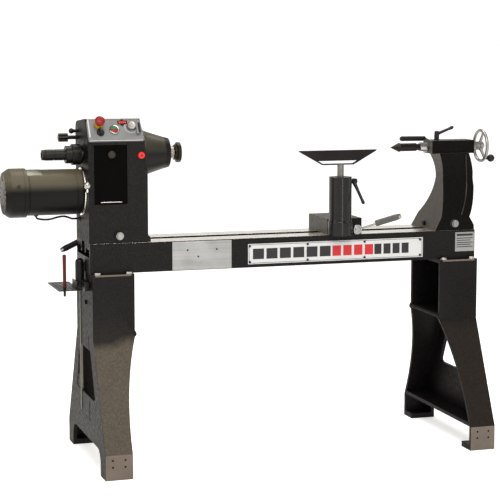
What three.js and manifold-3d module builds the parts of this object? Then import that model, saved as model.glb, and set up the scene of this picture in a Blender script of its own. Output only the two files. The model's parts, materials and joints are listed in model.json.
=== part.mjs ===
// A floor-standing wood-turning lathe. Millimetres, +X along the bed towards the tailstock,
// +Z up, the operator stands at -Y. The origin is on the floor under the middle of the machine.
import * as THREE from "three";
import { mergeVertices } from "three/addons/utils/BufferGeometryUtils.js";
import Module from "manifold-3d";

const wasm = await Module();
wasm.setup();

// ---- Driving dimensions ----
const gap = 0.3; // clearance between touching pieces
const bedTop = 793;
const bedHeight = 106;
const bedLength = 1465;
const bedWidth = 224;
const railWall = 14;
const railTop = 22;
const slotWidth = 48;
const lipDepth = 38; // guiding lip along each side of the slot
const swingRadius = 305; // spindle axis above the bed
const footSpread = 619; // front face of one foot to the front face of the other
const legTopDepth = 272;
const legWidth = 150;
const ledgeReach = 6; // how far the knee's ledge stands out of the flanges
const footWidth = 97;
const footDepth = 78;
const footHeight = 88;
const kneeHeight = 463;
const legWall = 14;
const soleThickness = 20;
const headLength = 212;
const headDepth = 212;
const headWall = 12;
const headRise = 127; // top of the headstock above the spindle axis
const coneLength = 100;
const coneBase = 163; // diameter
const coneNose = 104; // diameter
const spindleDiameter = 40;
const bearingDiameter = 62;
const bearingWidth = 18;
const noseReach = 44; // from the cone to the faceplate's front
const faceplateDiameter = 72;
const faceplateWidth = 22;
const outboardReach = 143; // spindle's outboard end from the headstock
const motorDrop = 130; // motor axis below the spindle axis
const motorDiameter = 160;
const motorLength = 213;
const fanCoverDiameter = 172;
const fanCoverLength = 78;
const motorShaftDiameter = 20;
const cableDiameter = 7;
const panelTilt = 33; // degrees back from upright
const panelLength = 86; // up the slope
const camDiameter = 20;
const banjoToTail = 382; // banjo post axis to the tailstock base
const postDiameter = 24;
const columnDiameter = 82;
const restLength = 300;
const restReach = 125; // tool-rest post in front of the spindle axis
const tailLength = 158; // tailstock base along the bed
const quillDiameter = 34;
const quillOut = 35; // quill showing at rest
const quillLength = 164;
const barrelLength = 172;
const barrelDepth = 84;
const centreReach = 117; // live centre from the quill's face to its point
const wheelDiameter = 126;
const wheelOffset = 46; // handwheel's plane from the barrel's end
const plateThickness = 2;

// ---- Places worked out from them ----
const spindleZ = bedTop + swingRadius;
const bedBottom = bedTop - bedHeight;
const bedLeft = -354; // the spindle's faceplate front is x = 0
const bedRight = bedLeft + bedLength;
const bedHalf = bedWidth / 2;
const slotHalf = slotWidth / 2;
const footY = footSpread / 2;
const legTopY = legTopDepth / 2;
const headRight = -(coneLength + noseReach);
const headLeft = headRight - headLength + 1;
const headHalf = headDepth / 2;
const headBase = bedTop + gap;
const headTop = spindleZ + headRise;
const coneEnd = headRight + coneLength;
const motorZ = spindleZ - motorDrop;
const tailRight = bedRight - 3;
const tailLeft = tailRight - tailLength;
const barrelLeft = tailLeft + 15;
const barrelRight = barrelLeft + barrelLength;
const camZ = bedTop + 25;
const postX = tailLeft - banjoToTail;
const wheelX = barrelRight + wheelOffset;
const rad = THREE.MathUtils.degToRad;
const fine = 20; // sides of a round piece that fits inside another

// ---- Materials ----
const paint = (color, roughness, metalness) =>
  new THREE.MeshStandardMaterial({ color, roughness, metalness });
const blackPaint = paint(0x17181a, 0.55, 0.1);
const satinBlack = paint(0x131313, 0.4, 0.2);
const darkPlastic = paint(0x0e0e0f, 0.45, 0);
const rubber = paint(0x151515, 0.8, 0);
const steel = paint(0xb9bbbd, 0.3, 1);
const chrome = paint(0xd9dadb, 0.12, 1);
const darkSteel = paint(0x4a4a48, 0.4, 1);
const groundIron = paint(0xc4c4c0, 0.3, 0.9);
const brushedAluminium = paint(0xc9cac8, 0.4, 1);
const silverPanel = paint(0xbfc2c4, 0.4, 0.5);
const redPlastic = paint(0xc41820, 0.35, 0);
const greenPlastic = paint(0x1f8a4c, 0.4, 0);
const yellowPlastic = paint(0xe8c01c, 0.5, 0);

// ---- Solids ----
const solidOf = (geometry) => {
  const bare = geometry.index ? geometry.toNonIndexed() : geometry.clone();
  bare.deleteAttribute("normal");
  bare.deleteAttribute("uv");
  const merged = mergeVertices(bare, 1e-4);
  const made = new wasm.Manifold(
    new wasm.Mesh({
      numProp: 3,
      vertProperties: merged.attributes.position.array,
      triVerts: new Uint32Array(merged.index.array),
    }),
  );
  if (made.volume() < 0) throw new Error("a solid's faces point inwards");
  return made;
};
const join = (first, ...others) =>
  others.reduce((sum, other) => sum.add(other), first);
const cut = (first, ...others) =>
  others.reduce((rest, other) => rest.subtract(other), first);
const overlap = (first, second) => first.intersect(second);
const geometryOf = (solid) => {
  const { numProp, vertProperties, triVerts } = solid.getMesh();
  const points = new Float32Array((vertProperties.length / numProp) * 3);
  for (let i = 0; i < points.length / 3; i++)
    points.set(vertProperties.subarray(i * numProp, i * numProp + 3), i * 3);
  const geometry = new THREE.BufferGeometry();
  geometry.setAttribute("position", new THREE.BufferAttribute(points, 3));
  geometry.setIndex(new THREE.BufferAttribute(new Uint32Array(triVerts), 1));
  geometry.computeVertexNormals();
  return geometry;
};

const box = (x0, x1, y0, y1, z0, z1) =>
  solidOf(
    new THREE.BoxGeometry(x1 - x0, y1 - y0, z1 - z0).translate(
      (x0 + x1) / 2,
      (y0 + y1) / 2,
      (z0 + z1) / 2,
    ),
  );
// A round bar, tapered where the two radii differ, between two points.
const bar = (from, to, radius, endRadius = radius, sides = 16) => {
  const a = new THREE.Vector3(...from);
  const along = new THREE.Vector3(...to).sub(a);
  const geometry = new THREE.CylinderGeometry(endRadius, radius, along.length(), sides)
    .translate(0, along.length() / 2, 0)
    .applyQuaternion(
      new THREE.Quaternion().setFromUnitVectors(
        new THREE.Vector3(0, 1, 0),
        along.clone().normalize(),
      ),
    )
    .translate(a.x, a.y, a.z);
  return solidOf(geometry);
};
// A round bore on the spindle's axis
const onSpindle = (from, to, radius) =>
  bar([from, 0, spindleZ], [to, 0, spindleZ], radius, radius, fine);
const ball = (centre, radius) =>
  solidOf(new THREE.SphereGeometry(radius, 12, 8).translate(...centre));
// A profile of [x, radius] points turned about an axis along X.
const turned = (profile, y, z, sides = fine) =>
  solidOf(
    new THREE.LatheGeometry(
      profile.map(([x, r]) => new THREE.Vector2(r, x)),
      sides,
    )
      .rotateZ(-Math.PI / 2)
      .translate(0, y, z),
  );
// A ring about an axis along X, as a closed section.
const ring = (x0, x1, inner, outer, y, z) =>
  turned([[x0, inner], [x0, outer], [x1, outer], [x1, inner], [x0, inner]], y, z);
const outline = (points) => {
  const shape = new THREE.Shape();
  points.forEach(([a, b, controlA, controlB], i) => {
    if (i === 0) shape.moveTo(a, b);
    else if (controlA === undefined) shape.lineTo(a, b);
    else shape.quadraticCurveTo(controlA, controlB, a, b);
  });
  shape.closePath();
  return shape;
};
const extruded = (shape, depth, curveSegments) =>
  new THREE.ExtrudeGeometry(shape, { depth, bevelEnabled: false, curveSegments });
// A [y, z] outline extruded along X, and an [x, z] outline extruded along Y.
const alongX = (points, x0, x1, curveSegments = 8) =>
  solidOf(
    extruded(points instanceof THREE.Shape ? points : outline(points), x1 - x0, curveSegments)
      .applyMatrix4(new THREE.Matrix4().set(0, 0, 1, x0, 1, 0, 0, 0, 0, 1, 0, 0, 0, 0, 0, 1)),
  );
const alongY = (points, y0, y1, curveSegments = 8) =>
  solidOf(
    extruded(outline(points), y1 - y0, curveSegments)
      .rotateX(Math.PI / 2)
      .translate(0, y1, 0),
  );

const lathe = new THREE.Group();
const add = (name, solid, material, parent = lathe) => {
  const mesh = new THREE.Mesh(geometryOf(solid), material);
  mesh.name = name;
  parent.add(mesh);
  return mesh;
};

// ---- Legs: open-backed castings, splayed below the knee ----
// `outer` is the leg's outer face and `inward` is +1 or -1, towards the middle of the bed.
const leg = (outer, inward) => {
  const slab = (points, from, to) => {
    const ends = [outer + inward * from, outer + inward * to];
    return alongX(points, Math.min(...ends), Math.max(...ends));
  };
  const top = bedBottom - gap;
  const archY = footY - footDepth;
  const archSpring = footHeight / 2;
  const side = [
    [-footY, 0],
    [-archY, 0],
    [-archY, archSpring],
    [-archY + 44, footHeight, -archY + 6, footHeight - 6],
    [archY - 44, footHeight],
    [archY, archSpring, archY - 6, footHeight - 6],
    [archY, 0],
    [footY, 0],
    [footY, footHeight],
    [legTopY, kneeHeight],
    [legTopY, top],
    [-legTopY, top],
    [-legTopY, kneeHeight],
    [-footY, footHeight],
  ];
  const slope = (footY - legTopY) / (kneeHeight - footHeight);
  const slant = legWall * Math.hypot(1, slope);
  const floorZ = footHeight + legWall;
  const floorY = footY - slope * legWall - slant;
  const kneeY = legTopY - slant;
  const hollow = [
    [-floorY, floorZ],
    [floorY, floorZ],
    [kneeY, kneeHeight],
    [kneeY, top - legWall],
    [-kneeY, top - legWall],
    [-kneeY, kneeHeight],
  ];
  const beyond = legWidth + 60;
  const footHollow = (sign) => {
    const ys = [sign * (footY - legWall), sign * (archY - 50)].sort((a, b) => a - b);
    const xs = [outer + inward * legWall, outer + inward * beyond].sort((a, b) => a - b);
    return box(...xs, ...ys, soleThickness, footHeight);
  };
  const windowTop = kneeHeight - 52;
  const windowBottom = footHeight + 155;
  const opening = [
    [-82, windowTop],
    [-150, windowBottom + 18],
    [-128, windowBottom, -156, windowBottom],
    [128, windowBottom],
    [150, windowBottom + 18, 156, windowBottom],
    [82, windowTop],
  ];
  const ribYs = [-kneeY - 1, kneeY + 1];
  const ribXs = [outer + inward * 2, outer + inward * (legWidth + ledgeReach)].sort((a, b) => a - b);
  // The flanges' free edge: wide at the bed, narrow at the foot, with a small ledge at the knee.
  const edge = [
    [0, -1],
    [footWidth, -1],
    [footWidth, footHeight + 50],
    [legWidth, kneeHeight, footWidth + 3, kneeHeight - 145],
    [legWidth + ledgeReach, kneeHeight + 6],
    [legWidth + ledgeReach, kneeHeight + 14],
    [legWidth, kneeHeight + 24],
    [legWidth, top + 1],
    [0, top + 1],
  ].map(([s, z, controlS, controlZ]) =>
    controlS === undefined
      ? [outer + inward * s, z]
      : [outer + inward * s, z, outer + inward * controlS, controlZ],
  );
  const kept = alongY(inward > 0 ? edge : reversed(edge), -footY - 1, footY + 1);
  const casting = join(
    cut(slab(side, 0, legWidth + ledgeReach), slab(hollow, legWall, beyond), footHollow(-1), footHollow(1)),
    box(...ribXs, ...ribYs, kneeHeight + 8, kneeHeight + 20),
  );
  return overlap(cut(casting, slab(opening, -1, legWall + 1)), kept);
};
// The same outline run the other way round, each curve keeping its control point.
function reversed(points) {
  const back = [...points].reverse();
  return back.map(([a, b], i) => {
    const before = i > 0 ? back[i - 1] : back[back.length - 1];
    return i > 0 && before[2] !== undefined ? [a, b, before[2], before[3]] : [a, b];
  });
}
add("headstock_leg", leg(bedLeft + 2, 1), blackPaint);
add("tailstock_leg", leg(bedRight + 1, -1), blackPaint);

// ---- Bed: two rails with a slot between them, tied across underneath ----
const lipZ = bedTop - lipDepth;
const rail = [
  [-bedHalf, bedBottom],
  [-bedHalf, bedTop],
  [-slotHalf, bedTop],
  [-slotHalf, lipZ],
  [-slotHalf - 14, lipZ],
  [-slotHalf - 14, bedTop - railTop],
  [-bedHalf + railWall, bedTop - railTop],
  [-bedHalf + railWall, bedBottom + 12],
  [-bedHalf + railWall + 18, bedBottom + 12],
  [-bedHalf + railWall + 18, bedBottom],
];
const mirroredRail = rail.map(([y, z]) => [-y, z]).reverse();
const tieHeight = 28;
const tieCount = 5;
const tieThickness = 16;
const tieHalf = bedHalf - railWall + 1;
const ties = Array.from({ length: tieCount }, (_, i) => {
  const x = bedLeft + ((bedLength - tieThickness) * i) / (tieCount - 1);
  const atEnd = i === 0 || i === tieCount - 1;
  const height = atEnd ? bedHeight - 51 : tieHeight;
  return box(x, x + tieThickness, -tieHalf, tieHalf, bedBottom, bedBottom + height);
});
add(
  "bed",
  join(alongX(rail, bedLeft, bedRight), alongX(mirroredRail, bedLeft, bedRight), ...ties),
  groundIron,
);

// Plates on the bed's front face
const frontPlate = (x0, x1, z0, z1) =>
  box(x0, x1, -bedHalf - gap - plateThickness, -bedHalf - gap, z0, z1);
const sidePlateLeft = bedLeft + 295;
const sidePlateRight = sidePlateLeft + 218;
const namePlateRight = bedRight - 211;
const specLeft = bedRight - 80;
add("side_plate", frontPlate(sidePlateLeft, sidePlateRight, bedBottom + 2, bedTop - 3), brushedAluminium);
add(
  "name_plate",
  frontPlate(sidePlateRight + 62, namePlateRight, bedBottom + 12, bedTop - 21),
  silverPanel,
);
add("spec_plate", frontPlate(specLeft, bedRight - 3, bedTop - 80, bedTop - 8), brushedAluminium);

// ---- Tool shelf on the headstock end ----
const shelfZ = bedBottom - 53;
const bracketRadius = 16;
const bracketX = bedLeft - gap - bracketRadius;
const bracketY = -10;
const bracketTop = shelfZ + 84;
const shelfRight = bracketX - bracketRadius - gap;
const shelfLeft = shelfRight - 78;
const knockoutX = shelfLeft + 30;
const knockoutY = -60;
const knockoutRadius = 5;
add(
  "shelf_bracket",
  join(
    bar([bracketX, bracketY, shelfZ - 14], [bracketX, bracketY, bracketTop], bracketRadius),
    ball([bracketX, bracketY, bracketTop], bracketRadius),
    box(bracketX, bedLeft - gap, bracketY - 84, bracketY, shelfZ - 8, shelfZ + 24),
  ),
  darkPlastic,
);
add(
  "tool_shelf",
  cut(
    join(
      box(shelfLeft, shelfRight, -105, 105, shelfZ - 3, shelfZ),
      box(shelfRight - 3, shelfRight, -50, 30, shelfZ - 1, shelfZ + 22),
    ),
    bar([knockoutX, knockoutY, shelfZ - 9], [knockoutX, knockoutY, shelfZ + 9], knockoutRadius + 0.6),
  ),
  darkSteel,
);
add(
  "knockout_bar",
  join(
    bar([knockoutX, knockoutY, shelfZ - 28], [knockoutX, knockoutY, shelfZ + 2], knockoutRadius - 0.5),
    bar([knockoutX, knockoutY, shelfZ + 1], [knockoutX, knockoutY, shelfZ + 120], knockoutRadius + 1.5),
  ),
  redPlastic,
);

// ---- Headstock ----
const slopeRun = panelLength * Math.sin(rad(panelTilt));
const slopeRise = panelLength * Math.cos(rad(panelTilt));
const panelFoot = headTop - 7 - slopeRise;
const panelBackY = -headHalf + slopeRun;
const headEnd = [
  [-headHalf, headBase],
  [headHalf, headBase],
  [headHalf, headTop - 48],
  [headHalf - 32, headTop - 12, headHalf, headTop - 14],
  [panelBackY + 5, headTop],
  [panelBackY, headTop - 7],
  [-headHalf, panelFoot],
];
const draft = 16; // the casting narrows towards its top
const headFront = [
  [headLeft, headBase],
  [headRight + 9, headBase],
  [headRight + 9, headBase + 16],
  [headRight, headBase + 24],
  [headRight, spindleZ - 70],
  [headRight - draft, headTop],
  [headLeft, headTop],
];
const cavity = [
  [-headHalf + headWall, headBase + 20],
  [headHalf - headWall, headBase + 20],
  [headHalf - headWall, headTop - 55],
  [headHalf - 45, headTop - 26],
  [panelBackY + 10, headTop - 14],
  [-headHalf + headWall + 8, panelFoot],
  [-headHalf + headWall, panelFoot - 14],
];
const doorLeft = headLeft + 20;
const doorRight = doorLeft + 118;
const doorBottom = panelFoot - 217;
const doorTop = panelFoot - 10;
const camX = headLeft + 108;
const plungerX = headRight - 23;
const bearingSeat = bearingDiameter / 2 + gap;
const frontBearingX = coneEnd - 34;
const rearBearingX = headLeft + 8;
const rearBoss = 34;
const shaftHole = motorShaftDiameter / 2 + 21;
const pivotY = headHalf - 12;
const leadHoleY = 44;
const leadHoleZ = motorZ - motorDiameter / 2 - 20;
const panelOpening = alongX(
  [
    [-headHalf + 4, panelFoot + 22],
    [-headHalf + 4 + 30, panelFoot + 8],
    [panelBackY + 16, headTop - 30],
    [panelBackY - 14, headTop - 12],
  ],
  headLeft + 22,
  headRight - 34,
);
const headCasting = cut(
  join(
    cut(
      overlap(alongX(headEnd, headLeft, headRight + 9), alongY(headFront, -headHalf, headHalf)),
      alongX(cavity, headLeft + headWall, headRight - headWall - 4),
    ),
    bar([headRight - 14, 0, spindleZ], [coneEnd, 0, spindleZ], coneBase / 2, coneNose / 2, 32),
    bar([headLeft + 1, 0, spindleZ], [headLeft + rearBoss, 0, spindleZ], 46, 46, fine),
    bar([headLeft + 1, pivotY, motorZ], [headLeft - 8, pivotY, motorZ], 6),
    bar([camX, -headHalf + 2, camZ], [camX, -headHalf - 5, camZ], 19, 19),
  ),
  onSpindle(headLeft - 10, coneEnd + 1, spindleDiameter / 2 + 3),
  onSpindle(frontBearingX, coneEnd + 1, bearingSeat),
  onSpindle(headLeft - 1, rearBearingX + bearingWidth + gap, bearingSeat),
  bar([headLeft - 1, 0, motorZ], [headLeft + headWall + 1, 0, motorZ], shaftHole),
  bar([headLeft - 1, leadHoleY, leadHoleZ], [headLeft + headWall + 1, leadHoleY, leadHoleZ], 11),
  bar([camX, -headHalf - 9, camZ], [camX, headHalf + 9, camZ], camDiameter / 2 + gap),
  box(camX - 22, camX + 22, -25, 25, headBase - 1, headBase + 21),
  box(doorLeft, doorRight, -headHalf - 1, -headHalf + headWall + 1, doorBottom, doorTop),
  bar([plungerX, -headHalf - 1, spindleZ], [plungerX, -headHalf + headWall + 12, spindleZ], 12.5),
  panelOpening,
);
add("headstock_casting", headCasting, blackPaint);

// Spindle line
const bearing = (x) => ring(x, x + bearingWidth, spindleDiameter / 2 + gap, bearingDiameter / 2, 0, spindleZ);
add("front_bearing", bearing(frontBearingX + gap), steel);
add("rear_bearing", bearing(rearBearingX), steel);
const shaftR = spindleDiameter / 2;
const boreR = 7.5;
const noseR = 15;
const faceplateX = -faceplateWidth;
const collarEnd = headLeft - 60;
add(
  "spindle",
  turned(
    [
      [collarEnd - 24, boreR],
      [collarEnd - 24, shaftR - 6],
      [collarEnd, shaftR - 6],
      [collarEnd, shaftR],
      [coneEnd + 1, shaftR],
      [coneEnd + 1, shaftR + 1],
      [faceplateX - gap, shaftR + 1],
      [faceplateX - gap, noseR],
      [-2, noseR],
      [-2, boreR],
      [collarEnd - 24, boreR],
    ],
    0,
    spindleZ,
  ),
  steel,
);
add(
  "faceplate",
  turned(
    [
      [faceplateX, noseR + gap],
      [faceplateX, 27],
      [faceplateX + 8, 30],
      [faceplateX + 10, faceplateDiameter / 2],
      [0, faceplateDiameter / 2],
      [0, noseR + gap],
      [faceplateX, noseR + gap],
    ],
    0,
    spindleZ,
  ),
  darkSteel,
);
add(
  "outboard_collar",
  turned(
    [
      [collarEnd + gap, shaftR + gap],
      [collarEnd + gap, 31],
      [collarEnd + 22, 31],
      [collarEnd + 22, 37],
      [headLeft - 6, 37],
      [headLeft - 6, shaftR + gap],
      [collarEnd + gap, shaftR + gap],
    ],
    0,
    spindleZ,
  ),
  satinBlack,
);
add(
  "outboard_sleeve",
  ring(headLeft - outboardReach, collarEnd - gap, shaftR - 6 + gap, 19.5, 0, spindleZ),
  satinBlack,
);

// Belt drive behind the access door
const beltX = headLeft + 55;
const stepWidth = 18;
const spindlePulley = [52, 36];
const motorPulley = [28, 44];
const pulley = (radii, bore, z) =>
  turned(
    [
      [beltX, bore],
      [beltX, radii[0]],
      [beltX + stepWidth, radii[0]],
      [beltX + stepWidth + 1, radii[1]],
      [beltX + 2 * stepWidth + 1, radii[1]],
      [beltX + 2 * stepWidth + 1, bore],
      [beltX, bore],
    ],
    0,
    z,
  );
add("spindle_pulley", pulley(spindlePulley, shaftR + gap, spindleZ), brushedAluminium);
const rotorR = motorShaftDiameter / 2;
add("motor_pulley", pulley(motorPulley, rotorR + gap, motorZ), brushedAluminium);
// The belt's outline round both pulleys, `off` outside their rims.
const beltLoop = (Kind, off) => {
  const big = spindlePulley[0] + off;
  const small = motorPulley[0] + off;
  const lean = Math.asin((big - small) / motorDrop);
  const loop = new Kind();
  loop.absarc(0, spindleZ, big, -lean, Math.PI + lean, false);
  loop.absarc(0, motorZ, small, Math.PI + lean, 2 * Math.PI - lean, false);
  loop.closePath();
  return loop;
};
const belt = beltLoop(THREE.Shape, 4.5);
belt.holes.push(beltLoop(THREE.Path, 0.5));
add("drive_belt", alongX(belt, beltX + 2, beltX + stepWidth - 1, 10), rubber);

// Bed clamp under a cam shaft: plate below the ways, stem through the slot, eye round the shaft.
const clampHalf = slotHalf + 13;
const clampTop = lipZ - gap;
const clampStem = (x, y, top, plateHalf) =>
  join(
    box(x - plateHalf, x + plateHalf, y - clampHalf, y + clampHalf, clampTop - 20, clampTop),
    bar([x, y, clampTop - 1], [x, y, top], 9),
  );
const clampEye = (x) =>
  cut(
    join(
      clampStem(x, 0, camZ, 34),
      box(x - 17, x + 17, -17, 17, camZ - camDiameter / 2 - 8, camZ + camDiameter / 2 + 8),
    ),
    bar([x, -19, camZ], [x, 19, camZ], camDiameter / 2 + gap),
  );
add("headstock_clamp", clampEye(camX), darkSteel);

// A cam shaft with its lever behind the bed, shown locked with the lever down.
const leverDrop = 24.5; // degrees below level
const camLever = (x) => {
  const frontY = -headHalf - 8;
  const planeY = headHalf + 22;
  const reach = (length) => [
    x - length * Math.cos(rad(leverDrop)),
    planeY,
    camZ - length * Math.sin(rad(leverDrop)),
  ];
  return join(
    bar([x, frontY, camZ], [x, planeY + 7, camZ], camDiameter / 2),
    bar([x, planeY - 8, camZ], [x, planeY + 8, camZ], 18),
    bar(reach(10), reach(92), 6),
    bar(reach(88), reach(172), 11),
    bar(reach(171), reach(180), 10, 8),
  );
};
add("headstock_lever", camLever(camX), chrome);

// Access door over the belt, hinged along its lower edge, and its pull knob
const doorKnobX = doorLeft + 62;
const doorKnobZ = doorTop - 33;
const doorFace = -headHalf + 1;
add(
  "access_door",
  cut(
    join(
      box(doorLeft + gap, doorRight - gap, doorFace, doorFace + 4, doorBottom + gap, doorTop - gap),
      box(doorLeft + 16, doorRight - 16, doorFace - 4, doorFace + 3, doorBottom + 1, doorBottom + 7),
    ),
    bar([doorKnobX, doorFace - 3, doorKnobZ], [doorKnobX, doorFace + 6, doorKnobZ], 5),
  ),
  satinBlack,
);
add(
  "door_knob",
  join(
    bar([doorKnobX, doorFace + 7, doorKnobZ], [doorKnobX, doorFace - 1, doorKnobZ], 4.6),
    bar([doorKnobX, doorFace - gap, doorKnobZ], [doorKnobX, doorFace - 17, doorKnobZ], 14, 16),
  ),
  darkPlastic,
);

// Spindle-lock plunger beside the cone
add(
  "spindle_lock_button",
  join(
    bar([plungerX, -headHalf - 9, spindleZ], [plungerX, -headHalf + 8, spindleZ], 12),
    bar([plungerX, -headHalf + 7, spindleZ], [plungerX, -headHalf + headWall + 4, spindleZ], 8.4),
  ),
  redPlastic,
);

// Controls stand on the sloped panel, drawn in the panel's own frame:
// x along the bed, y up the slope from the panel's foot, z out of its face.
const panel = new THREE.Group();
panel.position.set(headLeft, -headHalf, panelFoot);
panel.rotation.x = rad(90 - panelTilt);
lathe.add(panel);
const onPanel = (x, y, from, to, radius, endRadius = radius) =>
  bar([x, y, from], [x, y, to], radius, endRadius);
const panelWidth = headLength - draft - 2;
const bezelTop = 7;
const stop = { x: 44, y: 64 };
const selector = { x: 47, y: 34 };
const starter = { x: 97, y: 44 };
const dial = { x: 157, y: 53 };
const bezelOutline = outline([
  [8, 0],
  [panelWidth, 0],
  [panelWidth + 5, 5, panelWidth + 5, 0],
  [panelWidth, panelLength - 12],
  [panelWidth - 14, panelLength, panelWidth - 1, panelLength],
  [12, panelLength],
  [2, panelLength - 12, 2, panelLength],
  [2, 6],
  [8, 0, 2, 0],
]);
const bezel = cut(
  join(
    solidOf(extruded(bezelOutline, bezelTop, 6).translate(0, 0, gap)),
    box(3, panelWidth + 3, 1, 13, bezelTop - 1, bezelTop + 6),
    box(panelWidth - 20, panelWidth - 10, 24, 72, bezelTop - 1, bezelTop + 8),
  ),
  onPanel(stop.x, stop.y, -1, 30, 9.6),
  onPanel(selector.x, selector.y, -1, 30, 5.6),
  onPanel(starter.x, starter.y, -1, 30, 14),
  onPanel(dial.x, dial.y, -1, 30, 5.6),
);
add("control_panel", bezel, silverPanel, panel);
const panelFace = bezelTop + gap;
add(
  "stop_collar",
  cut(
    onPanel(stop.x, stop.y, panelFace + gap, panelFace + 13, 15, 14),
    onPanel(stop.x, stop.y, 0, 40, 10),
  ),
  yellowPlastic,
  panel,
);
add(
  "emergency_stop",
  join(
    onPanel(stop.x, stop.y, -14, 36, 9),
    onPanel(stop.x, stop.y, panelFace + 20, panelFace + 31, 15, 18),
    onPanel(stop.x, stop.y, panelFace + 30.9, panelFace + 38, 18, 13),
  ),
  redPlastic,
  panel,
);
add(
  "direction_switch",
  join(
    onPanel(selector.x, selector.y, -10, 12, 5),
    onPanel(selector.x, selector.y, panelFace + 0.6, panelFace + 7, 13.5),
    box(selector.x - 4, selector.x + 4, selector.y - 12, selector.y + 12, panelFace + 6, panelFace + 17),
  ),
  darkPlastic,
  panel,
);
// The round start and stop buttons share one chromed ring, split across its middle.
const halfButton = (sign) => {
  const ys = [starter.y + sign * 0.4, starter.y + sign * 15].sort((a, b) => a - b);
  return overlap(
    onPanel(starter.x, starter.y, -8, panelFace + 6, 13.4),
    box(starter.x - 15, starter.x + 15, ...ys, -9, 30),
  );
};
add("start_button", halfButton(1), greenPlastic, panel);
add("stop_button", halfButton(-1), redPlastic, panel);
add(
  "speed_dial",
  join(
    onPanel(dial.x, dial.y, -10, 12, 5),
    onPanel(dial.x, dial.y, panelFace + 0.6, panelFace + 18, 17, 15.5),
  ),
  silverPanel,
  panel,
);

// Index pin and clamp knob on the headstock's outboard face
const pinY = 80;
const pinZ = spindleZ + 78;
const knobY = 70;
const knobZ = spindleZ + 56;
add(
  "index_pin",
  join(
    bar([headLeft - gap, pinY, pinZ], [headLeft - 16, pinY, pinZ], 6),
    ball([headLeft - 20, pinY, pinZ], 10),
  ),
  darkPlastic,
);
const lobes = Array.from({ length: 6 }, (_, i) => {
  const turn = (i * Math.PI) / 3;
  const y = knobY + 11 * Math.cos(turn);
  const z = knobZ + 11 * Math.sin(turn);
  return bar([headLeft - 68, y, z], [headLeft - 36, y, z], 5.5, 5.5, 8);
});
add(
  "clamp_knob",
  join(
    bar([headLeft - gap, knobY, knobZ], [headLeft - 66, knobY, knobZ], 7),
    bar([headLeft - 70, knobY, knobZ], [headLeft - 36, knobY, knobZ], 11.5),
    ...lobes,
  ),
  darkPlastic,
);

// ---- Motor on its swinging plate ----
const plateRight = headLeft - 0.7;
const plateLeft = plateRight - 6;
const motorRight = plateLeft - gap;
const motorLeft = motorRight - motorLength;
const coverLeft = headLeft - 281;
const motorR = motorDiameter / 2;
const coverR = fanCoverDiameter / 2;
const earY = -motorR - 24;
const earZ = motorZ + 17;
add(
  "motor_plate",
  cut(
    join(
      bar([plateLeft, 0, motorZ], [plateRight, 0, motorZ], motorR + 5, motorR + 5, fine),
      box(plateLeft, plateRight, 60, pivotY + 11, motorZ - 13, motorZ + 13),
      box(plateLeft, plateRight, earY, -60, earZ - 12, earZ + 12),
    ),
    bar([plateLeft - 1, 0, motorZ], [plateRight + 1, 0, motorZ], rotorR + 6),
    bar([plateLeft - 1, pivotY, motorZ], [plateRight + 1, pivotY, motorZ], 6.4),
  ),
  groundIron,
);
const shell = 6;
add(
  "motor_body",
  join(
    cut(
      bar([motorLeft, 0, motorZ], [motorRight, 0, motorZ], motorR, motorR, fine),
      bar(
        [motorLeft + shell, 0, motorZ],
        [motorRight - shell, 0, motorZ],
        motorR - shell,
        motorR - shell,
        fine,
      ),
      bar([motorLeft - 1, 0, motorZ], [motorRight + 1, 0, motorZ], rotorR + 1),
    ),
    bar([motorLeft + 54, 0, motorZ - motorR + 2], [motorLeft + 54, 0, motorZ - motorR - 3], 8),
  ),
  satinBlack,
);
add(
  "fan_cover",
  turned(
    [
      [coverLeft, 20],
      [coverLeft, coverR - 14],
      [coverLeft + 22, coverR],
      [coverLeft + fanCoverLength, coverR],
      [coverLeft + fanCoverLength, motorR + 1.5],
      [coverLeft + 23, coverR - 4],
      [coverLeft + 3, coverR - 17],
      [coverLeft + 3, 20],
      [coverLeft, 20],
    ],
    0,
    motorZ,
  ),
  satinBlack,
);
add(
  "motor_rotor",
  turned(
    [
      [coverLeft + 12, 0],
      [coverLeft + 12, rotorR],
      [coverLeft + 20, rotorR],
      [coverLeft + 20, 62],
      [coverLeft + 40, 62],
      [coverLeft + 40, rotorR],
      [motorLeft + 40, rotorR],
      [motorLeft + 40, 48],
      [motorRight - 50, 48],
      [motorRight - 50, rotorR],
      [beltX + 2 * stepWidth + 6, rotorR],
      [beltX + 2 * stepWidth + 6, 0],
    ],
    0,
    motorZ,
  ),
  darkSteel,
);
const tensionX = plateLeft - gap - 5;
const tensionBall = [tensionX - 2, -headHalf - 44, earZ + 16];
add(
  "tension_lever",
  join(bar([tensionX, earY + 12, earZ], tensionBall, 5), ball(tensionBall, 13)),
  chrome,
);
const cableRoute = [
  [motorLeft + 54, 0, motorZ - motorR - 3.6],
  [motorLeft + 55, 0, motorZ - motorR - 9],
  [motorLeft + 76, 0, motorZ - motorR - 15],
  [motorLeft + 104, 0, motorZ - motorR - 15],
  [motorLeft + 130, 2, motorZ - motorR - 9],
  [motorLeft + 152, 8, motorZ - motorR - 7],
  [motorLeft + 172, 18, motorZ - motorR - 12],
  [motorLeft + 188, 32, motorZ - motorR - 19],
  [headLeft - 14, leadHoleY - 2, leadHoleZ],
  [headLeft + 4, leadHoleY, leadHoleZ],
  [headLeft + 20, leadHoleY, leadHoleZ],
].map((point) => new THREE.Vector3(...point));
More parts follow.
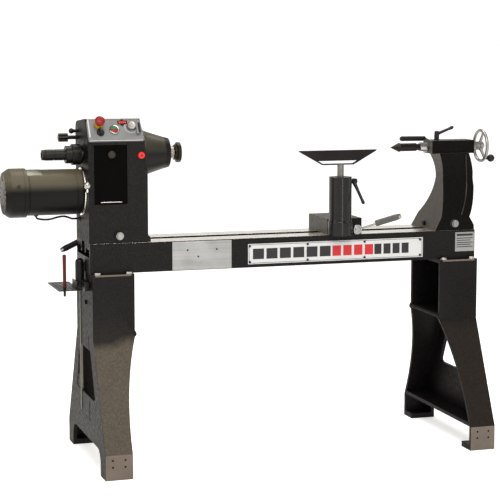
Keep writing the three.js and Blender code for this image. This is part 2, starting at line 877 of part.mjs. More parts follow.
const tube = (route, diameter, steps, sides = 8) => {
  const section = new THREE.Shape();
  for (let i = 0; i < sides; i++) {
    const turn = (2 * Math.PI * i) / sides;
    const x = (diameter / 2) * Math.cos(turn);
    const y = (diameter / 2) * Math.sin(turn);
    if (i === 0) section.moveTo(x, y);
    else section.lineTo(x, y);
  }
  section.closePath();
  return solidOf(
    new THREE.ExtrudeGeometry(section, {
      steps,
      extrudePath: new THREE.CatmullRomCurve3(route),
      bevelEnabled: false,
    }),
  );
};
add("motor_lead", tube(cableRoute, cableDiameter, 24), rubber);

// ---- Banjo: clamp in the slot, saddle that turns on it, and the banjo sliding over the saddle ----
const banjoCamX = postX + 67;
const armLeft = postX - 38;
const armRight = postX + 96;
const armTop = bedTop + 57;
const armBase = bedTop + gap;
const armFront = -94;
const pocketHalf = 23;
const saddleHalf = 20;
const stemTop = bedTop + 6;
const banjoCamZ = bedTop + 19;
add("banjo_clamp", clampStem(banjoCamX, 0, stemTop, 34), darkSteel);
const saddleBase = bedTop + gap;
add(
  "banjo_saddle",
  cut(
    box(banjoCamX - saddleHalf, banjoCamX + saddleHalf, -20, 20, saddleBase, saddleBase + 42),
    bar([banjoCamX, 0, saddleBase - 1], [banjoCamX, 0, stemTop + gap], 9.4),
    bar([banjoCamX, -21, banjoCamZ], [banjoCamX, 21, banjoCamZ], camDiameter / 2 + 0.5),
  ),
  darkSteel,
);
const columnR = columnDiameter / 2;
const columnTop = spindleZ - 92;
const bushR = 20;
const bushBase = armTop + 8;
add(
  "banjo",
  cut(
    join(
      bar([postX, -restReach, armBase], [postX, -restReach, columnTop], columnR, columnR, fine),
      bar([postX, -restReach, armBase], [postX, -restReach, bedTop + 50], columnR + 3, columnR + 3, fine),
      box(armLeft, armRight, armFront, 105, armBase, armTop),
      box(postX - 30, postX + 30, -restReach, -90, armBase, armTop),
    ),
    box(banjoCamX - pocketHalf, banjoCamX + pocketHalf, -72, 92, armBase - 1, bedTop + 46),
    bar([banjoCamX, -96, banjoCamZ], [banjoCamX, 110, banjoCamZ], camDiameter / 2 + gap),
    bar([postX, -restReach, bushBase], [postX, -restReach, columnTop + 1], bushR + gap, bushR + gap, fine),
    bar([postX, -restReach, spindleZ - 110], [postX + 50, -restReach, spindleZ - 110], 5.5),
  ),
  blackPaint,
);
add(
  "rest_bushing",
  cut(
    bar([postX, -restReach, bushBase + gap], [postX, -restReach, columnTop - 1], bushR, bushR, fine),
    bar([postX, -restReach, bushBase], [postX, -restReach, columnTop + 1], postDiameter / 2 + gap),
  ),
  steel,
);
const restLift = 14; // banjo lever's angle above level
const banjoLeverY = armFront - 26;
const leverPoint = (length) => [
  banjoCamX + length * Math.cos(rad(restLift)),
  banjoLeverY,
  banjoCamZ + length * Math.sin(rad(restLift)),
];
add(
  "banjo_lever",
  join(
    bar([banjoCamX, armFront - 40, banjoCamZ], [banjoCamX, 100, banjoCamZ], camDiameter / 2),
    bar([banjoCamX, armFront - 38, banjoCamZ], [banjoCamX, armFront - 1, banjoCamZ], 18, 18.4),
    bar(leverPoint(10), leverPoint(84), 5.5),
    bar(leverPoint(80), leverPoint(162), 11.5),
    bar(leverPoint(161), leverPoint(178), 10, 7),
  ),
  chrome,
);
// Tool rest: a long blade with a slot over its lower bar, on a round post
const restHalf = restLength / 2;
const restMiddle = postX - 11; // the blade reaches further towards the headstock
const blade = [
  [restMiddle - restHalf, spindleZ + 4],
  [restMiddle - restHalf + 4, spindleZ - 1],
  [restMiddle - 60, spindleZ - 49],
  [restMiddle + 60, spindleZ - 49],
  [restMiddle + restHalf - 4, spindleZ - 1],
  [restMiddle + restHalf, spindleZ + 4],
];
const slotCut = [
  [restMiddle - 76, spindleZ - 34],
  [restMiddle - 58, spindleZ - 44],
  [restMiddle + 58, spindleZ - 44],
  [restMiddle + 76, spindleZ - 34],
];
add(
  "tool_rest",
  join(
    cut(
      alongY(blade, -restReach - 5, -restReach + 5),
      alongY(slotCut, -restReach - 6, -restReach + 6),
    ),
    bar([postX, -restReach, bushBase + 40], [postX, -restReach, spindleZ - 46], postDiameter / 2),
  ),
  darkSteel,
);
const lockZ = spindleZ - 110;
const lockX = postX + columnR;
const lockTip = [lockX + 30, -restReach - 46, lockZ - 74];
add(
  "rest_lock_lever",
  join(
    bar([postX + bushR + 2, -restReach, lockZ], [lockX + 6, -restReach, lockZ], 5),
    bar([lockX + 2, -restReach, lockZ], [lockX + 22, -restReach, lockZ], 10, 9),
    bar([lockX + 10, -restReach, lockZ], lockTip, 8, 5.5),
    ball(lockTip, 6.5),
  ),
  darkPlastic,
);

// ---- Tailstock ----
const tailBase = bedTop + gap;
const bodyTop = spindleZ - 22;
const riseOf = (share) => tailBase + share * (bodyTop - tailBase);
const tailFront = [
  [tailLeft, tailBase],
  [tailRight, tailBase],
  [tailRight, tailBase + 18],
  [tailRight - 17, riseOf(0.17)],
  [tailRight + 31, riseOf(0.6), tailRight + 22, riseOf(0.34)],
  [barrelRight - 26, bodyTop, tailRight + 33, riseOf(0.82)],
  [barrelLeft + 26, bodyTop],
  [tailLeft + 64, riseOf(0.7), tailLeft + 62, riseOf(0.87)],
  [tailLeft + 26, riseOf(0.17), tailLeft + 62, riseOf(0.4)],
];
const tailSide = (sign) => [
  [sign * bedHalf, tailBase],
  [sign * (bedHalf - 4), riseOf(0.17)],
  [sign * 33, riseOf(0.66), sign * 50, riseOf(0.42)],
  [sign * 52, bodyTop + 4, sign * 32, riseOf(0.84)],
];
const tailEnd = [...tailSide(1), ...reversed(tailSide(-1))];
const barrelHalf = barrelDepth / 2;
const quillR = quillDiameter / 2;
const tailCamX = tailRight - 78;
const screwR = 8;
const screwHole = screwR + 1;
const clampHollow = bar([tailCamX, 0, tailBase - 1], [tailCamX, 0, camZ + 20], 24);
add(
  "tailstock_casting",
  cut(
    join(
      overlap(
        alongX(tailEnd, tailLeft, barrelRight, 10),
        alongY(tailFront, -bedHalf, bedHalf, 10),
      ),
      box(barrelLeft, barrelRight, -barrelHalf, barrelHalf, bodyTop - 2, spindleZ + 25),
      bar([tailCamX, -bedHalf + 8, camZ], [tailCamX, -bedHalf - 2, camZ], 17),
    ),
    bar([barrelLeft - 1, 0, spindleZ], [barrelRight - 12, 0, spindleZ], quillR + gap, quillR + gap, fine),
    bar([barrelLeft - 1, 0, spindleZ], [barrelRight + 1, 0, spindleZ], screwHole),
    bar([tailCamX, -bedHalf - 9, camZ], [tailCamX, bedHalf + 9, camZ], camDiameter / 2 + gap),
    clampHollow,
  ),
  blackPaint,
);
add(
  "tailstock_clamp",
  cut(
    join(clampStem(tailCamX, 0, camZ, 34), bar([tailCamX, 0, camZ - 17], [tailCamX, 0, camZ + 17], 17)),
    bar([tailCamX, -19, camZ], [tailCamX, 19, camZ], camDiameter / 2 + gap),
  ),
  darkSteel,
);
add("tailstock_lever", camLever(tailCamX), chrome);

const quillFront = barrelLeft - quillOut;
const quillRear = quillFront + quillLength;
const taperR = 9;
add(
  "quill",
  ring(quillFront, quillRear, taperR + gap, quillR, 0, spindleZ),
  chrome,
);
const tip = quillFront - centreReach;
add(
  "live_centre",
  turned(
    [
      [tip, 0],
      [tip + 35, 17.5],
      [tip + 38, 15],
      [quillFront - 13, 15],
      [quillFront - 13, 12],
      [quillFront - gap, 12],
      [quillFront - gap, taperR],
      [quillFront + 40, taperR - 1],
      [quillFront + 40, 0],
    ],
    0,
    spindleZ,
  ),
  darkSteel,
);
const screwStart = quillFront + 70;
add(
  "quill_screw",
  bar([screwStart, 0, spindleZ], [wheelX - 12, 0, spindleZ], screwR),
  steel,
);

// Handwheel with three spokes and a turning handle
const rimR = 5.5;
const rimMiddle = wheelDiameter / 2 - rimR;
const rim = solidOf(
  new THREE.TorusGeometry(rimMiddle, rimR, 6, 24).rotateY(Math.PI / 2).translate(wheelX, 0, spindleZ),
);
const handleTurn = rad(-128); // from +Y, towards the operator and down
const spokeTurns = [0, 1, 2].map((i) => handleTurn + (i * 2 * Math.PI) / 3);
const onWheel = (turn, radius, x) => [
  x,
  radius * Math.cos(turn),
  spindleZ + radius * Math.sin(turn),
];
const spokes = spokeTurns.map((turn) =>
  bar(onWheel(turn, 14, wheelX - 4), onWheel(turn, rimMiddle, wheelX), 6, 5, 8),
);
const wheelHub = bar([barrelRight + 0.6, 0, spindleZ], [wheelX + 6, 0, spindleZ], 19, 17);
add(
  "handwheel",
  cut(
    join(rim, wheelHub, ...spokes),
    bar([barrelRight - 1, 0, spindleZ], [wheelX - 12 + gap, 0, spindleZ], screwR + gap),
  ),
  chrome,
);
const gripStart = wheelX + rimR + gap;
const gripBall = 14.5;
add(
  "wheel_handle",
  join(
    bar(onWheel(handleTurn, rimMiddle, gripStart), onWheel(handleTurn, rimMiddle, gripStart + 12), 5, 6),
    ball(onWheel(handleTurn, rimMiddle, gripStart + 20), gripBall),
  ),
  darkPlastic,
);

// Quill lock on top of the barrel, and the long clamp handle on its back
const quillLockX = barrelLeft + 36;
const barrelTop = spindleZ + 25;
add(
  "quill_lock_lever",
  join(
    bar([quillLockX, 0, barrelTop + gap], [quillLockX, 0, barrelTop + 34], 10, 8),
    bar([quillLockX, 0, barrelTop + 22], [quillLockX + 60, -4, barrelTop + 46], 6, 5),
    ball([quillLockX + 60, -4, barrelTop + 46], 6.5),
  ),
  darkPlastic,
);
const backLeverX = barrelLeft + 40;
const backLeverY = barrelHalf + 22;
const backLeverZ = barrelTop - 12;
add(
  "barrel_clamp_lever",
  join(
    bar([backLeverX, barrelHalf + gap, backLeverZ], [backLeverX, backLeverY + 7, backLeverZ], 10),
    bar([backLeverX, backLeverY, backLeverZ], [backLeverX - 28, backLeverY, backLeverZ + 13], 7, 6),
    bar([backLeverX - 24, backLeverY, backLeverZ + 14], [backLeverX - 126, backLeverY, backLeverZ + 15], 9.5),
  ),
  darkPlastic,
);

// ---- The machine's frame: the origin is under the middle of its overall length ----
const farLeft = coverLeft;
const farRight = gripStart + 20 + gripBall;
lathe.position.set(-(farLeft + farRight) / 2, 0, 0);

export default lathe;
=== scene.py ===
import json
import math

import bpy
from bpy.props import FloatProperty, FloatVectorProperty, IntProperty, PointerProperty
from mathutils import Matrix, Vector


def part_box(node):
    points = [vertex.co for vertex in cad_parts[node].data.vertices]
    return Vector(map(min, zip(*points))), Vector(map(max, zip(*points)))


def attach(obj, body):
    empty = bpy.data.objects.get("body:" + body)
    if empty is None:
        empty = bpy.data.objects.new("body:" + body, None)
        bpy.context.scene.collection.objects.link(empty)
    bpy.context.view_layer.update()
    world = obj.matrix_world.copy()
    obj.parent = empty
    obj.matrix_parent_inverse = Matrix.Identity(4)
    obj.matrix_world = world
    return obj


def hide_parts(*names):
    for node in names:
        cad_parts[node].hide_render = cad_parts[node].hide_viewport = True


bl_info = {
    "name": "Wood Lathe",
    "version": (1, 0, 0),
    "blender": (4, 5, 0),
    "location": "View3D > Sidebar > Lathe",
    "description": "Builds the finished pieces and materials of a floor-standing wood lathe",
    "category": "Object",
}

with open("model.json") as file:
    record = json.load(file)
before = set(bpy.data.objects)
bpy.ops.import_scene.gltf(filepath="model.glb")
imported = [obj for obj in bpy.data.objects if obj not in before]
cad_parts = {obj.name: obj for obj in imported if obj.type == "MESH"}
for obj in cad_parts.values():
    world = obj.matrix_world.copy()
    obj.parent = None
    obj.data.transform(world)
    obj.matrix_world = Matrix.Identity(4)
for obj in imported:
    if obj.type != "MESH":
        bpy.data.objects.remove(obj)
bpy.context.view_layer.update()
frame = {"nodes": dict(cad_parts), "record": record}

MM = 0.001
# Places are in millimetres along the machine: x = 0 is the faceplate's front, z = 0 the floor.
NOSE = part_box("faceplate")[1].x / MM
SPINDLE_Z = (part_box("faceplate")[0].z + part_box("faceplate")[1].z) / 2 / MM
BED_LOW, BED_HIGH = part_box("bed")
BED_LEFT = BED_LOW.x / MM - NOSE
BED_RIGHT = BED_HIGH.x / MM - NOSE
BED_BOTTOM = BED_LOW.z / MM
BED_TOP = BED_HIGH.z / MM
BED_HALF = BED_HIGH.y / MM
FOOT_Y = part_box("headstock_leg")[1].y / MM
KNEE = 463
HEAD_LEFT = BED_LEFT - 1
HEAD_RIGHT = -144
HEAD_HALF = 106
HEAD_TOP = SPINDLE_Z + 127
CAM_Z = BED_TOP + 25
MOTOR_Z = SPINDLE_Z - 130
POST_X = 568
POST_Y = -125
TAIL_RIGHT = BED_RIGHT - 3
BARREL_LEFT = TAIL_RIGHT - 143
BARREL_RIGHT = BARREL_LEFT + 172
WHEEL_X = BARREL_RIGHT + 46
PANEL_TILT = math.radians(33)
PANEL_FOOT = HEAD_TOP - 7 - 86 * math.cos(PANEL_TILT)
OUT = Vector((0, -math.cos(PANEL_TILT), math.sin(PANEL_TILT)))
UP = Vector((0, math.sin(PANEL_TILT), math.cos(PANEL_TILT)))
X, Y, Z = Vector((1, 0, 0)), Vector((0, 1, 0)), Vector((0, 0, 1))


def linear(code):
    """A #rrggbb colour as the linear numbers that shaders and lights take."""
    parts = [int(code[i : i + 2], 16) / 255 for i in (1, 3, 5)]
    return [p / 12.92 if p <= 0.04045 else ((p + 0.055) / 1.055) ** 2.4 for p in parts]


def colour(label, code, description):
    return FloatVectorProperty(
        name=label, description=description, subtype="COLOR", size=3, min=0, max=1, default=linear(code)
    )


def length(label, size, description):
    return FloatProperty(name=label, description=description, default=size * MM, min=0, unit="LENGTH")


class LatheSizes(bpy.types.PropertyGroup):
    cast_edge: length("Casting edge", 5, "Radius along the outer edges of the castings")
    plate_edge: length("Plate edge", 0.5, "Radius along the edges of the thin plates")
    way_edge: length("Way chamfer", 1.6, "Chamfer along the ground ways of the bed")
    peel: length("Enamel texture", 5, "Size of the bumps in the textured enamel")
    bolt: length("Leg bolt", 19, "Size across the hexagon of the leg bolts")
    sides: IntProperty(
        name="Round sides", description="Sides of each turned piece", default=64, min=24, max=128
    )


class LatheColours(bpy.types.PropertyGroup):
    enamel: colour("Casting enamel", "#0d0c0c", "Textured enamel of the castings")
    satin: colour("Satin black", "#0d0d0d", "Smooth black paint of the turned covers")
    plastic: colour("Black plastic", "#0b0b0c", "Knobs and grips")
    iron: colour("Ground iron", "#f0ebe2", "Ways of the bed")
    aluminium: colour("Aluminium", "#8e8f8e", "Brushed plates")
    panel: colour("Silver panel", "#65696b", "Casting round the controls")
    steel: colour("Steel", "#b3b1ad", "Turned steel")
    chrome: colour("Chrome", "#a5a5a3", "Plated levers and handwheel")
    dark_steel: colour("Dark steel", "#2a2826", "Blackened steel")
    red: colour("Red", "#7a0a0e", "Stop buttons and the knock-out bar's sleeve")
    # Paler film below the knee on the near leg's front faces: partly wood dust, partly painted light standing
    # in for warm light off the sloped lower faces.
    dust: colour("Dust and painted light", "#6a6256", "Film below the knee on the near leg's front: wood dust and painted light")
    green: colour("Green", "#256044", "Start button")
    yellow: colour("Yellow", "#b08c10", "Collar of the emergency stop")
    floor: colour("Floor", "#fbfbfa", "Floor and backdrop")


# ---- Mesh making ----
def at(x, y, z):
    return Vector(((x + NOSE) * MM, y * MM, z * MM))


def panel_point(x, y, out=0):
    """A place on the sloped controls: along the bed, up the slope, out of its face."""
    point = Vector((HEAD_LEFT + x, -HEAD_HALF, PANEL_FOOT)) + UP * y + OUT * out
    return tuple(point)


def start():
    if bpy.context.object and bpy.context.object.mode != "OBJECT":
        bpy.ops.object.mode_set(mode="OBJECT")
    bpy.ops.object.select_all(action="DESELECT")


def pick(piece):
    start()
    piece.select_set(True)
    bpy.context.view_layer.objects.active = piece


def block(x0, x1, y0, y1, z0, z1, edge=0, steps=2):
    start()
    middle = at((x0 + x1) / 2, (y0 + y1) / 2, (z0 + z1) / 2)
    size = ((x1 - x0) * MM, (y1 - y0) * MM, (z1 - z0) * MM)
    bpy.ops.mesh.primitive_cube_add(size=1, location=middle, scale=size)
    bpy.ops.object.transform_apply(location=True, rotation=True, scale=True)
    piece = bpy.context.object
    if edge:
        rounded(piece, edge, steps)
    return piece


def turned(base, way, profile, sides=None, edge=0):
    """A closed turned shape: (distance, radius) steps from `base` along `way`.
    Each step is an extrusion and a resize."""
    start()
    way = Vector(way).normalized()
    origin = at(*base)
    along, radius = profile[0]
    bpy.ops.mesh.primitive_circle_add(
        vertices=sides or bpy.context.scene.lathe_sizes.sides,
        radius=radius * MM,
        fill_type="NGON",
        location=origin + way * along * MM,
        rotation=way.to_track_quat("Z", "Y").to_euler(),
    )
    bpy.ops.object.transform_apply(location=True, rotation=True, scale=True)
    bpy.ops.object.mode_set(mode="EDIT")
    bpy.ops.mesh.select_all(action="SELECT")
    for next_along, next_radius in profile[1:]:
        step = way * (next_along - along) * MM
        bpy.ops.mesh.extrude_region_move(TRANSFORM_OT_translate={"value": step})
        factor = next_radius / radius
        bpy.ops.transform.resize(value=(factor,) * 3, center_override=origin + way * next_along * MM)
        along, radius = next_along, next_radius
    bpy.ops.mesh.select_all(action="SELECT")
    bpy.ops.mesh.normals_make_consistent(inside=False)
    bpy.ops.object.mode_set(mode="OBJECT")
    piece = bpy.context.object
    if edge:
        rounded(piece, edge, 2)
    return piece


def swept(points, radius, sides=12):
    """A rod through the points, its ends closed."""
    start()
    places = [at(*point) for point in points]
    bpy.ops.mesh.primitive_circle_add(
        vertices=sides,
        radius=radius * MM,
        fill_type="NGON",
        location=places[0],
        rotation=(places[1] - places[0]).to_track_quat("Z", "Y").to_euler(),
    )
    bpy.ops.object.transform_apply(location=True, rotation=True, scale=True)
    bpy.ops.object.mode_set(mode="EDIT")
    for before, after in zip(places, places[1:]):
        bpy.ops.mesh.extrude_region_move(TRANSFORM_OT_translate={"value": after - before})
    bpy.ops.mesh.select_all(action="SELECT")
    bpy.ops.mesh.normals_make_consistent(inside=False)
    bpy.ops.object.mode_set(mode="OBJECT")
    return bpy.context.object


def globe(centre, radius, squash=1):
    start()
    bpy.ops.mesh.primitive_uv_sphere_add(segments=40, ring_count=24, radius=radius * MM, location=at(*centre))
    bpy.ops.object.mode_set(mode="EDIT")
    bpy.ops.transform.resize(value=(1, 1, squash), center_override=at(*centre))
    bpy.ops.object.mode_set(mode="OBJECT")
    bpy.ops.object.transform_apply(location=True, rotation=True, scale=True)
    return bpy.context.object


def rounded(piece, width, steps=2, angle=28):
    pick(piece)
    bpy.ops.object.modifier_add(type="BEVEL")
    bevel = piece.modifiers[-1]
    bevel.width = width * MM
    bevel.segments = steps
    bevel.limit_method = "ANGLE"
    bevel.angle_limit = math.radians(angle)
    bevel.use_clamp_overlap = True
    bpy.ops.object.modifier_apply(modifier=bevel.name)


def cast_edges(piece, radius_at, widest, steps=3):
    """Rounds the sharp edges of a casting: `radius_at` gives the radius for an edge's middle, in mm."""
    mesh = piece.data
    faces_of = {}
    for face in mesh.polygons:
        for key in face.edge_keys:
            faces_of.setdefault(key, []).append(face.normal)
    weights = mesh.attributes.new("bevel_weight_edge", "FLOAT", "EDGE")
    for edge in mesh.edges:
        sides = faces_of.get(tuple(sorted(edge.vertices)), [])
        if len(sides) == 2 and sides[0].angle(sides[1], 0) > math.radians(25):
            middle = (mesh.vertices[edge.vertices[0]].co + mesh.vertices[edge.vertices[1]].co) / 2 / MM
            weights.data[edge.index].value = radius_at(middle.x - NOSE, middle.y, middle.z) / widest
    pick(piece)
    bpy.ops.object.modifier_add(type="BEVEL")
    bevel = piece.modifiers[-1]
    bevel.width = widest * MM
    bevel.segments = steps
    bevel.limit_method = "WEIGHT"
    bevel.use_clamp_overlap = True
    bpy.ops.object.modifier_apply(modifier=bevel.name)


def casting(node):
    """A merged copy of a CAD piece, to take its rounded edges, holes and fittings."""
    start()
    piece = bpy.data.objects.new(node + "_casting", frame["nodes"][node].data.copy())
    bpy.context.scene.collection.objects.link(piece)
    pick(piece)
    bpy.ops.object.mode_set(mode="EDIT")
    bpy.ops.mesh.select_all(action="SELECT")
    bpy.ops.mesh.remove_doubles(threshold=0.00002)
    bpy.ops.mesh.dissolve_limited(angle_limit=math.radians(1.5))
    bpy.ops.object.mode_set(mode="OBJECT")
    return piece


def bored(piece, *cutters):
    for cutter in cutters:
        pick(piece)
        bpy.ops.object.modifier_add(type="BOOLEAN")
        hole = piece.modifiers[-1]
        hole.operation = "DIFFERENCE"
        hole.solver = "EXACT"
        hole.object = cutter
        bpy.ops.object.modifier_apply(modifier=hole.name)
        bpy.data.objects.remove(cutter)
    return piece


def merged(*parts):
    """Several shapes of one piece, in one mesh."""
    start()
    for part in parts:
        part.select_set(True)
    bpy.context.view_layer.objects.active = parts[0]
    if len(parts) > 1:
        bpy.ops.object.join()
    return bpy.context.object


def moved_copy(piece, x, y, z):
    pick(piece)
    bpy.ops.object.duplicate()
    bpy.ops.transform.translate(value=(x * MM, y * MM, z * MM))
    bpy.ops.object.transform_apply(location=True, rotation=True, scale=True)
    return bpy.context.object


def halved(piece, point, away):
    """Cuts off the side of a plane that `away` points to, and closes the cut."""
    pick(piece)
    bpy.ops.object.mode_set(mode="EDIT")
    bpy.ops.mesh.select_all(action="SELECT")
    bpy.ops.mesh.bisect(plane_co=at(*point), plane_no=away, use_fill=True, clear_outer=True)
    bpy.ops.object.mode_set(mode="OBJECT")
    return piece


def repeated(piece, offsets):
    """The piece and a copy at each further offset from it, joined."""
    return merged(piece, *[moved_copy(piece, *offset) for offset in offsets])


def done(piece, name, body, material, replaces=(), smooth=32):
    piece.name = name
    piece.data.name = name
    if material is not None:
        piece.data.materials.clear()
        piece.data.materials.append(material)
    pick(piece)
    bpy.ops.object.shade_smooth_by_angle(angle=math.radians(smooth))
    bpy.ops.object.modifier_add(type="WEIGHTED_NORMAL")
    piece.modifiers[-1].keep_sharp = True
    piece.modifiers[-1].weight = 90
    bpy.ops.object.modifier_apply(modifier=piece.modifiers[-1].name)
    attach(piece, body)
    if replaces:
        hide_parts(*replaces)
    return piece


def finished(piece, finishes, finish_at):
    """Gives each face one of the finishes: `finish_at` takes its middle in mm and its normal,
    and returns which."""
    piece.data.materials.clear()
    for name in finishes:
        piece.data.materials.append(FINISH[name])
    for face in piece.data.polygons:
        middle = face.center / MM
        face.material_index = finish_at(middle.x - NOSE, middle.y, middle.z, face.normal)


# ---- Materials ----
def node(tree, kind, values=None, **settings):
    """Adds a shader node; a value that is a socket is linked, any other is set."""
    made = tree.nodes.new("ShaderNode" + kind)
    for key, value in settings.items():
        setattr(made, key, value)
    for key, value in (values or {}).items():
        if isinstance(value, bpy.types.NodeSocket):
            tree.links.new(value, made.inputs[key])
        else:
            made.inputs[key].default_value = value
    return made


def blank(name, metallic=0.0, **sockets):
    material = bpy.data.materials.new(name)
    material.use_nodes = True
    tree = material.node_tree
    shader = tree.nodes["Principled BSDF"]
    shader.inputs["Metallic"].default_value = metallic
    for key, value in sockets.items():
        shader.inputs[key.replace("_", " ")].default_value = value
    place = node(tree, "TexCoord").outputs["Object"]
    return material, tree, shader, place


def noise(tree, place, size, detail=2.0, rough=0.5, stretch=None):
    """Soft noise whose features are about `size` mm; `stretch` lengthens them along an axis."""
    if stretch:
        scale = [1 / s for s in stretch]
        place = node(tree, "Mapping", {"Vector": place, "Scale": scale}).outputs[0]
    values = {"Vector": place, "Scale": 1 / (size * MM), "Detail": detail, "Roughness": rough}
    return node(tree, "TexNoise", values).outputs["Fac"]


def span(tree, value, low, high, start=0.3, end=0.7):
    values = {"Value": value, "From Min": start, "From Max": end, "To Min": low, "To Max": high}
    return node(tree, "MapRange", values).outputs["Result"]


def blend(tree, factor, first, second):
    values = {"Factor": factor}
    mix = node(tree, "Mix", values, data_type="RGBA")
    for socket, value in ((mix.inputs[6], first), (mix.inputs[7], second)):
        if isinstance(value, bpy.types.NodeSocket):
            tree.links.new(value, socket)
        else:
            socket.default_value = (*value, 1)
    return mix.outputs[2]


def bumped(tree, shader, height, distance, strength=1.0, below=None):
    values = {"Height": height, "Distance": distance * MM, "Strength": strength}
    if below is not None:
        values["Normal"] = below
    made = node(tree, "Bump", values).outputs["Normal"]
    tree.links.new(made, shader.inputs["Normal"])
    return made


def tinted(rgb, factor):
    return [c * factor for c in rgb]


# Warm brown of the painted highlight on the tops of the motor and the nose cone.
TOP_HIGHLIGHT_TINT = "#6b6655"


def textured_enamel(name, rgb, roughness=0.36, lift=1.5, dust=None, painted_light_height=0, sheen=0.1):
    """Air-dried enamel on sand-cast iron: orange peel and specks over slow waves of the casting.
    Below `painted_light_height` mm a paler, patchy film of the colour `dust` blends in: painted light, and on
    the legs partly wood dust as well."""
    material, tree, shader, place = blank(name, Specular_IOR_Level=sheen)
    size = bpy.context.scene.lathe_sizes.peel / MM
    peel = noise(tree, place, size, 2.0, 0.55)
    speck = noise(tree, place, size * 1.3, 3.0, 0.6)
    skin = noise(tree, place, 14, 3.0, 0.6)
    patch = noise(tree, place, 140, 3.0, 0.6)
    shaded = blend(tree, span(tree, speck, 0, 1, 0.35, 0.62), tinted(rgb, 0.55), tinted(rgb, 1.9))
    shaded = blend(tree, span(tree, patch, 0, 0.5), shaded, tinted(rgb, lift))
    # Painted light: the paler film below painted_light_height, broken up by the specks; on the legs it is
    # partly wood dust too.
    if dust:
        height = node(tree, "SeparateXYZ", {0: place}).outputs["Z"]
        uneven = node(tree, "Math", {0: height, 1: span(tree, patch, -0.02, 0.02)}, operation="ADD")
        painted_light_film = span(tree, uneven.outputs[0], 0.45, 0, (painted_light_height - 30) * MM, (painted_light_height + 8) * MM)
        thin = node(tree, "Math", {0: painted_light_film, 1: span(tree, speck, 0.6, 1)}, operation="MULTIPLY")
        shaded = blend(tree, thin.outputs[0], shaded, dust)
    tree.links.new(shaded, shader.inputs["Base Color"])
    tree.links.new(span(tree, skin, roughness - 0.06, roughness + 0.14), shader.inputs["Roughness"])
    coarse = bumped(tree, shader, skin, 0.5, 0.5)
    bumped(tree, shader, peel, 0.5, 0.8, coarse)
    return material


def smooth_paint(name, rgb, roughness, coat=0.0, dust=1.6, metallic=0.0, sheen=0.22, top_highlight=None):
    """Sprayed or moulded black skin: almost even, with faint smears that break up its sheen.
    `top_highlight` gives the heights in mm between which the colour lightens to a warm brown towards the top:
    a painted highlight of light from above."""
    level = 0.5 if metallic else sheen
    material, tree, shader, place = blank(
        name, metallic, Specular_IOR_Level=level, Coat_Weight=coat, Coat_Roughness=0.12
    )
    smear = noise(tree, place, 60, 4.0, 0.6)
    grain = noise(tree, place, 0.8, 2.0, 0.5)
    shaded = blend(tree, span(tree, smear, 0, 1), rgb, tinted(rgb, dust))
    # Painted highlight: the colour lightens towards the top, standing in for light from above.
    if top_highlight:
        height = node(tree, "SeparateXYZ", {0: place}).outputs["Z"]
        painted_light_film = span(tree, height, 0, 0.5, top_highlight[0] * MM, top_highlight[1] * MM)
        shaded = blend(tree, painted_light_film, shaded, linear(TOP_HIGHLIGHT_TINT))
    tree.links.new(shaded, shader.inputs["Base Color"])
    tree.links.new(span(tree, smear, roughness - 0.05, roughness + 0.1), shader.inputs["Roughness"])
    bumped(tree, shader, grain, 0.05, 0.35)
    return material


def ground_metal(name, rgb, roughness, stretch, stain=0.72, depth=0.03, line=1.1):
    """Ground or brushed metal: fine scratches one way, slow stains that dull it in places."""
    material, tree, shader, place = blank(name, 1.0)
    lines = noise(tree, place, line, 3.0, 0.6, stretch)
    cloud = noise(tree, place, 70, 4.0, 0.62)
    worn = blend(tree, span(tree, cloud, 0, 1), tinted(rgb, stain), rgb)
    streaked = blend(tree, span(tree, lines, 0, 0.6, 0.38, 0.66), worn, tinted(rgb, 1.15))
    tree.links.new(streaked, shader.inputs["Base Color"])
    tree.links.new(span(tree, cloud, roughness + 0.1, roughness - 0.04), shader.inputs["Roughness"])
    bumped(tree, shader, lines, depth, 0.5)
    return material


def plated(name, rgb, roughness):
    """Bright plating over polished steel: near-mirror, with handling haze."""
    material, tree, shader, place = blank(name, 1.0)
    haze = noise(tree, place, 26, 4.0, 0.65)
    fine = noise(tree, place, 1.5, 2.0, 0.5)
    tree.links.new(blend(tree, span(tree, haze, 0, 1), tinted(rgb, 0.86), rgb), shader.inputs["Base Color"])
    tree.links.new(span(tree, haze, roughness + 0.07, roughness), shader.inputs["Roughness"])
    bumped(tree, shader, fine, 0.01, 0.3)
    return material


def glossy_plastic(name, rgb, roughness=0.3, glow=0.0):
    """Injection-moulded coloured plastic with a polished tool's shine and faint flow marks."""
    material, tree, shader, place = blank(name, Specular_IOR_Level=0.25)
    flow = noise(tree, place, 14, 3.0, 0.6)
    tree.links.new(blend(tree, span(tree, flow, 0, 1), tinted(rgb, 0.82), rgb), shader.inputs["Base Color"])
    tree.links.new(span(tree, flow, roughness, roughness + 0.1), shader.inputs["Roughness"])
    if glow:
        shader.inputs["Emission Color"].default_value = (*rgb, 1)
        shader.inputs["Emission Strength"].default_value = glow
    bumped(tree, shader, noise(tree, place, 0.7), 0.02, 0.3)
    return material


FINISH = {}


